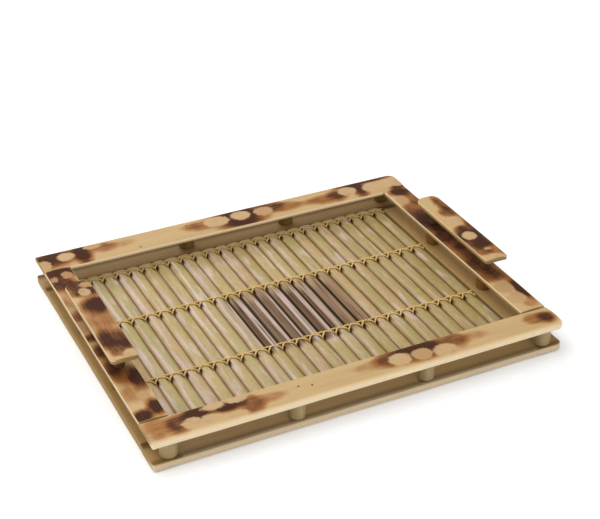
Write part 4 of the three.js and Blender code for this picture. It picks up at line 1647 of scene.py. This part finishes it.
class TRAY_OT_build_slats(bpy.types.Operator):
    """Make the slats of the mat"""

    bl_idname = "tray.build_slats"
    bl_label = "Build Slats"

    def execute(self, context):
        settings = context.scene.tray_mat
        material = slat_finish(settings)
        tree = slat_tree()
        for number in range(1, SLAT_COUNT + 1):
            node = f"mat_slat_{number:02d}"
            low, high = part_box(node)
            left = low.x + groove_shift(number - 1, settings.slat_uneven)
            right = high.x + groove_shift(number, settings.slat_uneven)
            values = {
                "Middle": ((left + right) / 2, (low.y + high.y) / 2, low.z),
                "Width": right - left,
                "Foot": settings.slat_foot,
                "Length": high.y - low.y,
                "Thickness": high.z - low.z,
                "Edge Thickness": settings.slat_edge,
                "Toe": settings.slat_toe,
                "Shoulder": settings.slat_shoulder,
                "Notch Back": settings.notch_back,
                "Notch Front": settings.notch_front,
                "Notch Depth": settings.notch_depth,
                "Sway": settings.slat_sway,
                "Seed": float(number),
                "Finish": material,
            }
            for place, row in enumerate(TWINE_ROWS, 1):
                values[f"Row {place}"] = sum(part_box(f"twine_row_{row}"), Vector()).y / 2
            new_piece(f"{node}_bamboo", run_tree(tree, values), material, "slat_bamboo", node)
        return {"FINISHED"}


class TRAY_OT_build_twine(bpy.types.Operator):
    """Make the twine rows that bind the slats"""

    bl_idname = "tray.build_twine"
    bl_label = "Build Twine"

    def execute(self, context):
        settings = context.scene.tray_mat
        material = twine_finish(settings)
        tree = twine_tree(strand_tree(), back_strand_tree())
        first_low, first_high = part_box("mat_slat_01")
        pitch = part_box("mat_slat_02")[0].x - first_low.x
        for seed, row in enumerate(TWINE_ROWS, TWINE_SEED):
            node = f"twine_row_{row}"
            low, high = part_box(node)
            values = {
                "Row": (0.0, (low.y + high.y) / 2, 0.0),
                "Slats": SLAT_COUNT,
                "Pitch": pitch,
                "Middle Height": first_low.z + settings.slat_edge / 2,
                "Over Height": first_high.z + settings.twine_radius * TWINE_BED,
                "Under Height": first_low.z - settings.twine_radius * TWINE_BED,
                "Sway": settings.twine_sway,
                "Radius": settings.twine_radius,
                "Twist": settings.twine_twist,
                "Knot Place": high.x - settings.knot_radius - settings.twine_radius,
                "Knot Radius": settings.knot_radius,
                "Knot Length": settings.knot_length,
                "Seed": float(seed),
                "Finish": material,
            }
            new_piece(f"{node}_strands", run_tree(tree, values), material, "twine", node)
        return {"FINISHED"}


class TRAY_OT_build_pegs(bpy.types.Operator):
    """Make the pegs between the rings and the posts under the handles"""

    bl_idname = "tray.build_pegs"
    bl_label = "Build Pegs and Posts"

    def execute(self, context):
        settings = context.scene.tray_pegs
        grey = ("peg_bamboo", round_finish("peg_bamboo", settings.peg_colour, 0.2))
        olive = ("peg_bamboo", round_finish("back_peg_bamboo", settings.back_peg_colour, 0.25))
        brown = ("peg_bamboo", round_finish("side_peg_bamboo", settings.side_peg_colour, 0.2))
        finishes = {
            "peg_front_": grey,
            "peg_back_": olive,
            "peg_left_": brown,
            "peg_right_": brown,
            "handle_post_": ("post_bamboo", round_finish("post_bamboo", settings.post_colour, 0.25)),
        }
        tree = peg_tree()
        for prefix, (slot, material) in finishes.items():
            nodes = sorted(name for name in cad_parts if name.startswith(prefix))
            for seed, node in enumerate(nodes, PEG_SEED):
                low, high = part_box(node)
                values = {
                    "Middle": tuple((low + high) / 2),
                    "Radius": (high.x - low.x) / 2,
                    "Height": high.z - low.z,
                    "Bore": settings.bore_radius,
                    "End Round": settings.end_round,
                    "Seed": float(seed),
                    "Finish": material,
                }
                new_piece(f"{node}_bamboo", run_tree(tree, values), material, slot, node)
        return {"FINISHED"}


def nail_mesh(settings, low, high):
    """A nail with its point down and a slightly domed head, about the upright axis of its box."""
    head, shank = settings.nail_head_radius, settings.nail_radius
    neck = high.z - settings.nail_head_height
    bevel = settings.nail_head_height / 4
    outline = (
        (shank, low.z + settings.nail_point),
        (shank, neck),
        (head - bevel, neck),
        (head, neck + bevel),
        (head, high.z - 2 * bevel),
        (head - bevel, high.z - bevel),
        (head / 2, high.z - bevel / 4),
    )
    work = bmesh.new()
    middle = (low + high) / 2
    tip = work.verts.new((middle.x, middle.y, low.z))
    top = work.verts.new((middle.x, middle.y, high.z))
    count = settings.nail_segments
    turns = [2 * math.pi * i / count for i in range(count)]
    rings = [
        [work.verts.new((middle.x + r * math.cos(t), middle.y + r * math.sin(t), z)) for t in turns]
        for r, z in outline
    ]
    for i in range(count):
        j = (i + 1) % count
        work.faces.new((tip, rings[0][j], rings[0][i]))
        work.faces.new((top, rings[-1][i], rings[-1][j]))
        for lower, upper in zip(rings, rings[1:]):
            work.faces.new((lower[i], lower[j], upper[j], upper[i]))
    bmesh.ops.recalc_face_normals(work, faces=work.faces)
    mesh = bpy.data.meshes.new("nail")
    work.to_mesh(mesh)
    work.free()
    return mesh


class TRAY_OT_build_nails(bpy.types.Operator):
    """Make the nails of the handles and the brads of the long rails"""

    bl_idname = "tray.build_nails"
    bl_label = "Build Nails and Brads"

    def execute(self, context):
        settings, strips = context.scene.tray_pegs, context.scene.tray_strips
        material = steel_finish("nail_steel", settings.nail_colour)
        rusted = steel_finish("scorched_steel", settings.rust_colour)
        for side in SHORT_SIDES:
            for end in ("front", "back"):
                node = f"handle_nail_{side}_{end}"
                low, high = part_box(node)
                finish = rusted if is_scorched(f"handle_{side}", (low + high) / 2) else material
                new_piece(f"{node}_steel", nail_mesh(settings, low, high), finish, "nail_steel", node)
        heads = bpy.data.meshes.new("brad_points")
        heads.from_pydata([self.on_skin(strips, x * MM, y * MM) for x, y in BRADS], [], [])
        values = {"Radius": settings.brad_radius, "Rise": settings.brad_rise, "Finish": rusted}
        new_piece("rail_brads", run_tree(brad_tree(), values, heads), rusted, "nail_steel")
        return {"FINISHED"}

    def on_skin(self, strips, x, y):
        """The point of a long rail's skin over a place."""
        low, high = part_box("upper_rail_front" if y < 0 else "upper_rail_back")
        offset = y - (low.y + high.y) / 2
        radius = strips.skin_radius
        return (x, y, high.z - radius + math.sqrt(radius**2 - offset**2))


def floor_finish(settings):
    """Pale floor that shows nearly white and keeps a soft shadow."""
    finish = Finish("pale_floor")
    seen = finish.add("ShaderNodeLightPath").outputs["Is Camera Ray"]
    x, y = finish.split(finish.on_tray)[:2]
    out = finish.math("SQRT", finish.math("MULTIPLY_ADD", x, x, finish.times(y, y)))
    glow = finish.span(finish.smooth(out, 0.4, 1.1), settings.floor_glow, settings.far_glow)
    finish.set(Base_Color=settings.floor_colour, Roughness=0.9, Specular_IOR_Level=0.0)
    finish.set(Emission_Color=(1, 1, 1, 1), Emission_Strength=finish.times(seen, glow))
    return finish.material


def add_lamp(name, place, size, power):
    """A large soft lamp aimed at the tray."""
    lamp = bpy.data.lights.new(name, "AREA")
    lamp.shape = "RECTANGLE"
    lamp.size, lamp.size_y = size
    lamp.energy = power
    holder = bpy.data.objects.new(name, lamp)
    holder.location = place
    holder.rotation_euler = Vector(place).to_track_quat("Z", "Y").to_euler()
    bpy.context.scene.collection.objects.link(holder)


class TRAY_OT_set_stage(bpy.types.Operator):
    """Set the camera, the floor and the light"""

    bl_idname = "tray.set_stage"
    bl_label = "Set Stage"

    def execute(self, context):
        settings = context.scene.tray_stage
        self.set_camera(context, settings)
        self.set_floor(settings)
        self.set_sky(context, settings)
        for name, (place, size, power) in LAMPS.items():
            add_lamp(name, place, size, getattr(settings, power))
        context.scene.view_settings.view_transform = "Standard"
        return {"FINISHED"}

    def set_camera(self, context, settings):
        turn, tilt = settings.camera_azimuth, settings.camera_elevation
        back = Vector((math.sin(turn) * math.cos(tilt), -math.cos(turn) * math.cos(tilt), math.sin(tilt)))
        right = Vector((math.cos(turn), math.sin(turn), 0))
        axes = Matrix((right, back.cross(right), back)).transposed()
        camera = bpy.data.cameras.new("tray_camera")
        camera.sensor_fit = "HORIZONTAL"
        camera.lens = settings.camera_lens
        holder = bpy.data.objects.new("tray_camera", camera)
        eye = axes @ Vector(settings.camera_offset) + Vector((0, 0, settings.aim_height))
        holder.matrix_world = Matrix.Translation(eye) @ axes.to_4x4()
        context.scene.collection.objects.link(holder)
        context.scene.camera = holder

    def set_floor(self, settings):
        work = bmesh.new()
        bmesh.ops.create_grid(work, x_segments=1, y_segments=1, size=settings.floor_size / 2)
        mesh = bpy.data.meshes.new("floor")
        work.to_mesh(mesh)
        work.free()
        mesh.materials.append(floor_finish(settings))
        floor = bpy.data.objects.new("floor", mesh)
        bpy.context.scene.collection.objects.link(floor)

    def set_sky(self, context, settings):
        sky = bpy.data.worlds.new("studio_sky")
        sky.use_nodes = True
        desk = NodeDesk(sky.node_tree)
        light_path = desk.add("ShaderNodeLightPath").outputs
        seen = desk.math("MAXIMUM", light_path["Is Camera Ray"], light_path["Is Transmission Ray"])
        shade = sky.node_tree.nodes["Background"]
        desk.feed(shade.inputs["Color"], (1, 1, 1, 1))
        desk.feed(shade.inputs["Strength"], desk.span(seen, settings.sky_strength, 1.0))
        context.scene.world = sky


OPERATORS = (
    TRAY_OT_build_rails,
    TRAY_OT_build_handles,
    TRAY_OT_build_pegs,
    TRAY_OT_build_slats,
    TRAY_OT_build_twine,
    TRAY_OT_build_nails,
    TRAY_OT_set_stage,
)

SETTINGS = {
    "tray_strips": TrayStripSettings,
    "tray_mat": TrayMatSettings,
    "tray_pegs": TrayPegSettings,
    "tray_stage": TrayStageSettings,
}


class TRAY_PT_panel(bpy.types.Panel):
    """Lists the tray's pieces and their sizes and colours"""

    bl_label = "Bamboo Tray"
    bl_idname = "TRAY_PT_panel"
    bl_space_type = "VIEW_3D"
    bl_region_type = "UI"
    bl_category = "Tray"

    def draw(self, context):
        for operator in OPERATORS:
            self.layout.operator(operator.bl_idname)
        for name, group in SETTINGS.items():
            box = self.layout.box()
            for key in group.__annotations__:
                box.prop(getattr(context.scene, name), key)


def register():
    for group in SETTINGS.values():
        bpy.utils.register_class(group)
    for name, group in SETTINGS.items():
        setattr(bpy.types.Scene, name, PointerProperty(type=group))
    for operator in OPERATORS:
        bpy.utils.register_class(operator)
    bpy.utils.register_class(TRAY_PT_panel)


def unregister():
    bpy.utils.unregister_class(TRAY_PT_panel)
    for operator in reversed(OPERATORS):
        bpy.utils.unregister_class(operator)
    for name, group in SETTINGS.items():
        delattr(bpy.types.Scene, name)
        bpy.utils.unregister_class(group)


def main():
    register()
    bpy.ops.tray.build_rails()
    bpy.ops.tray.build_handles()
    bpy.ops.tray.build_pegs()
    bpy.ops.tray.build_slats()
    bpy.ops.tray.build_twine()
    bpy.ops.tray.build_nails()
    bpy.ops.tray.set_stage()


if __name__ == "__main__":
    main()
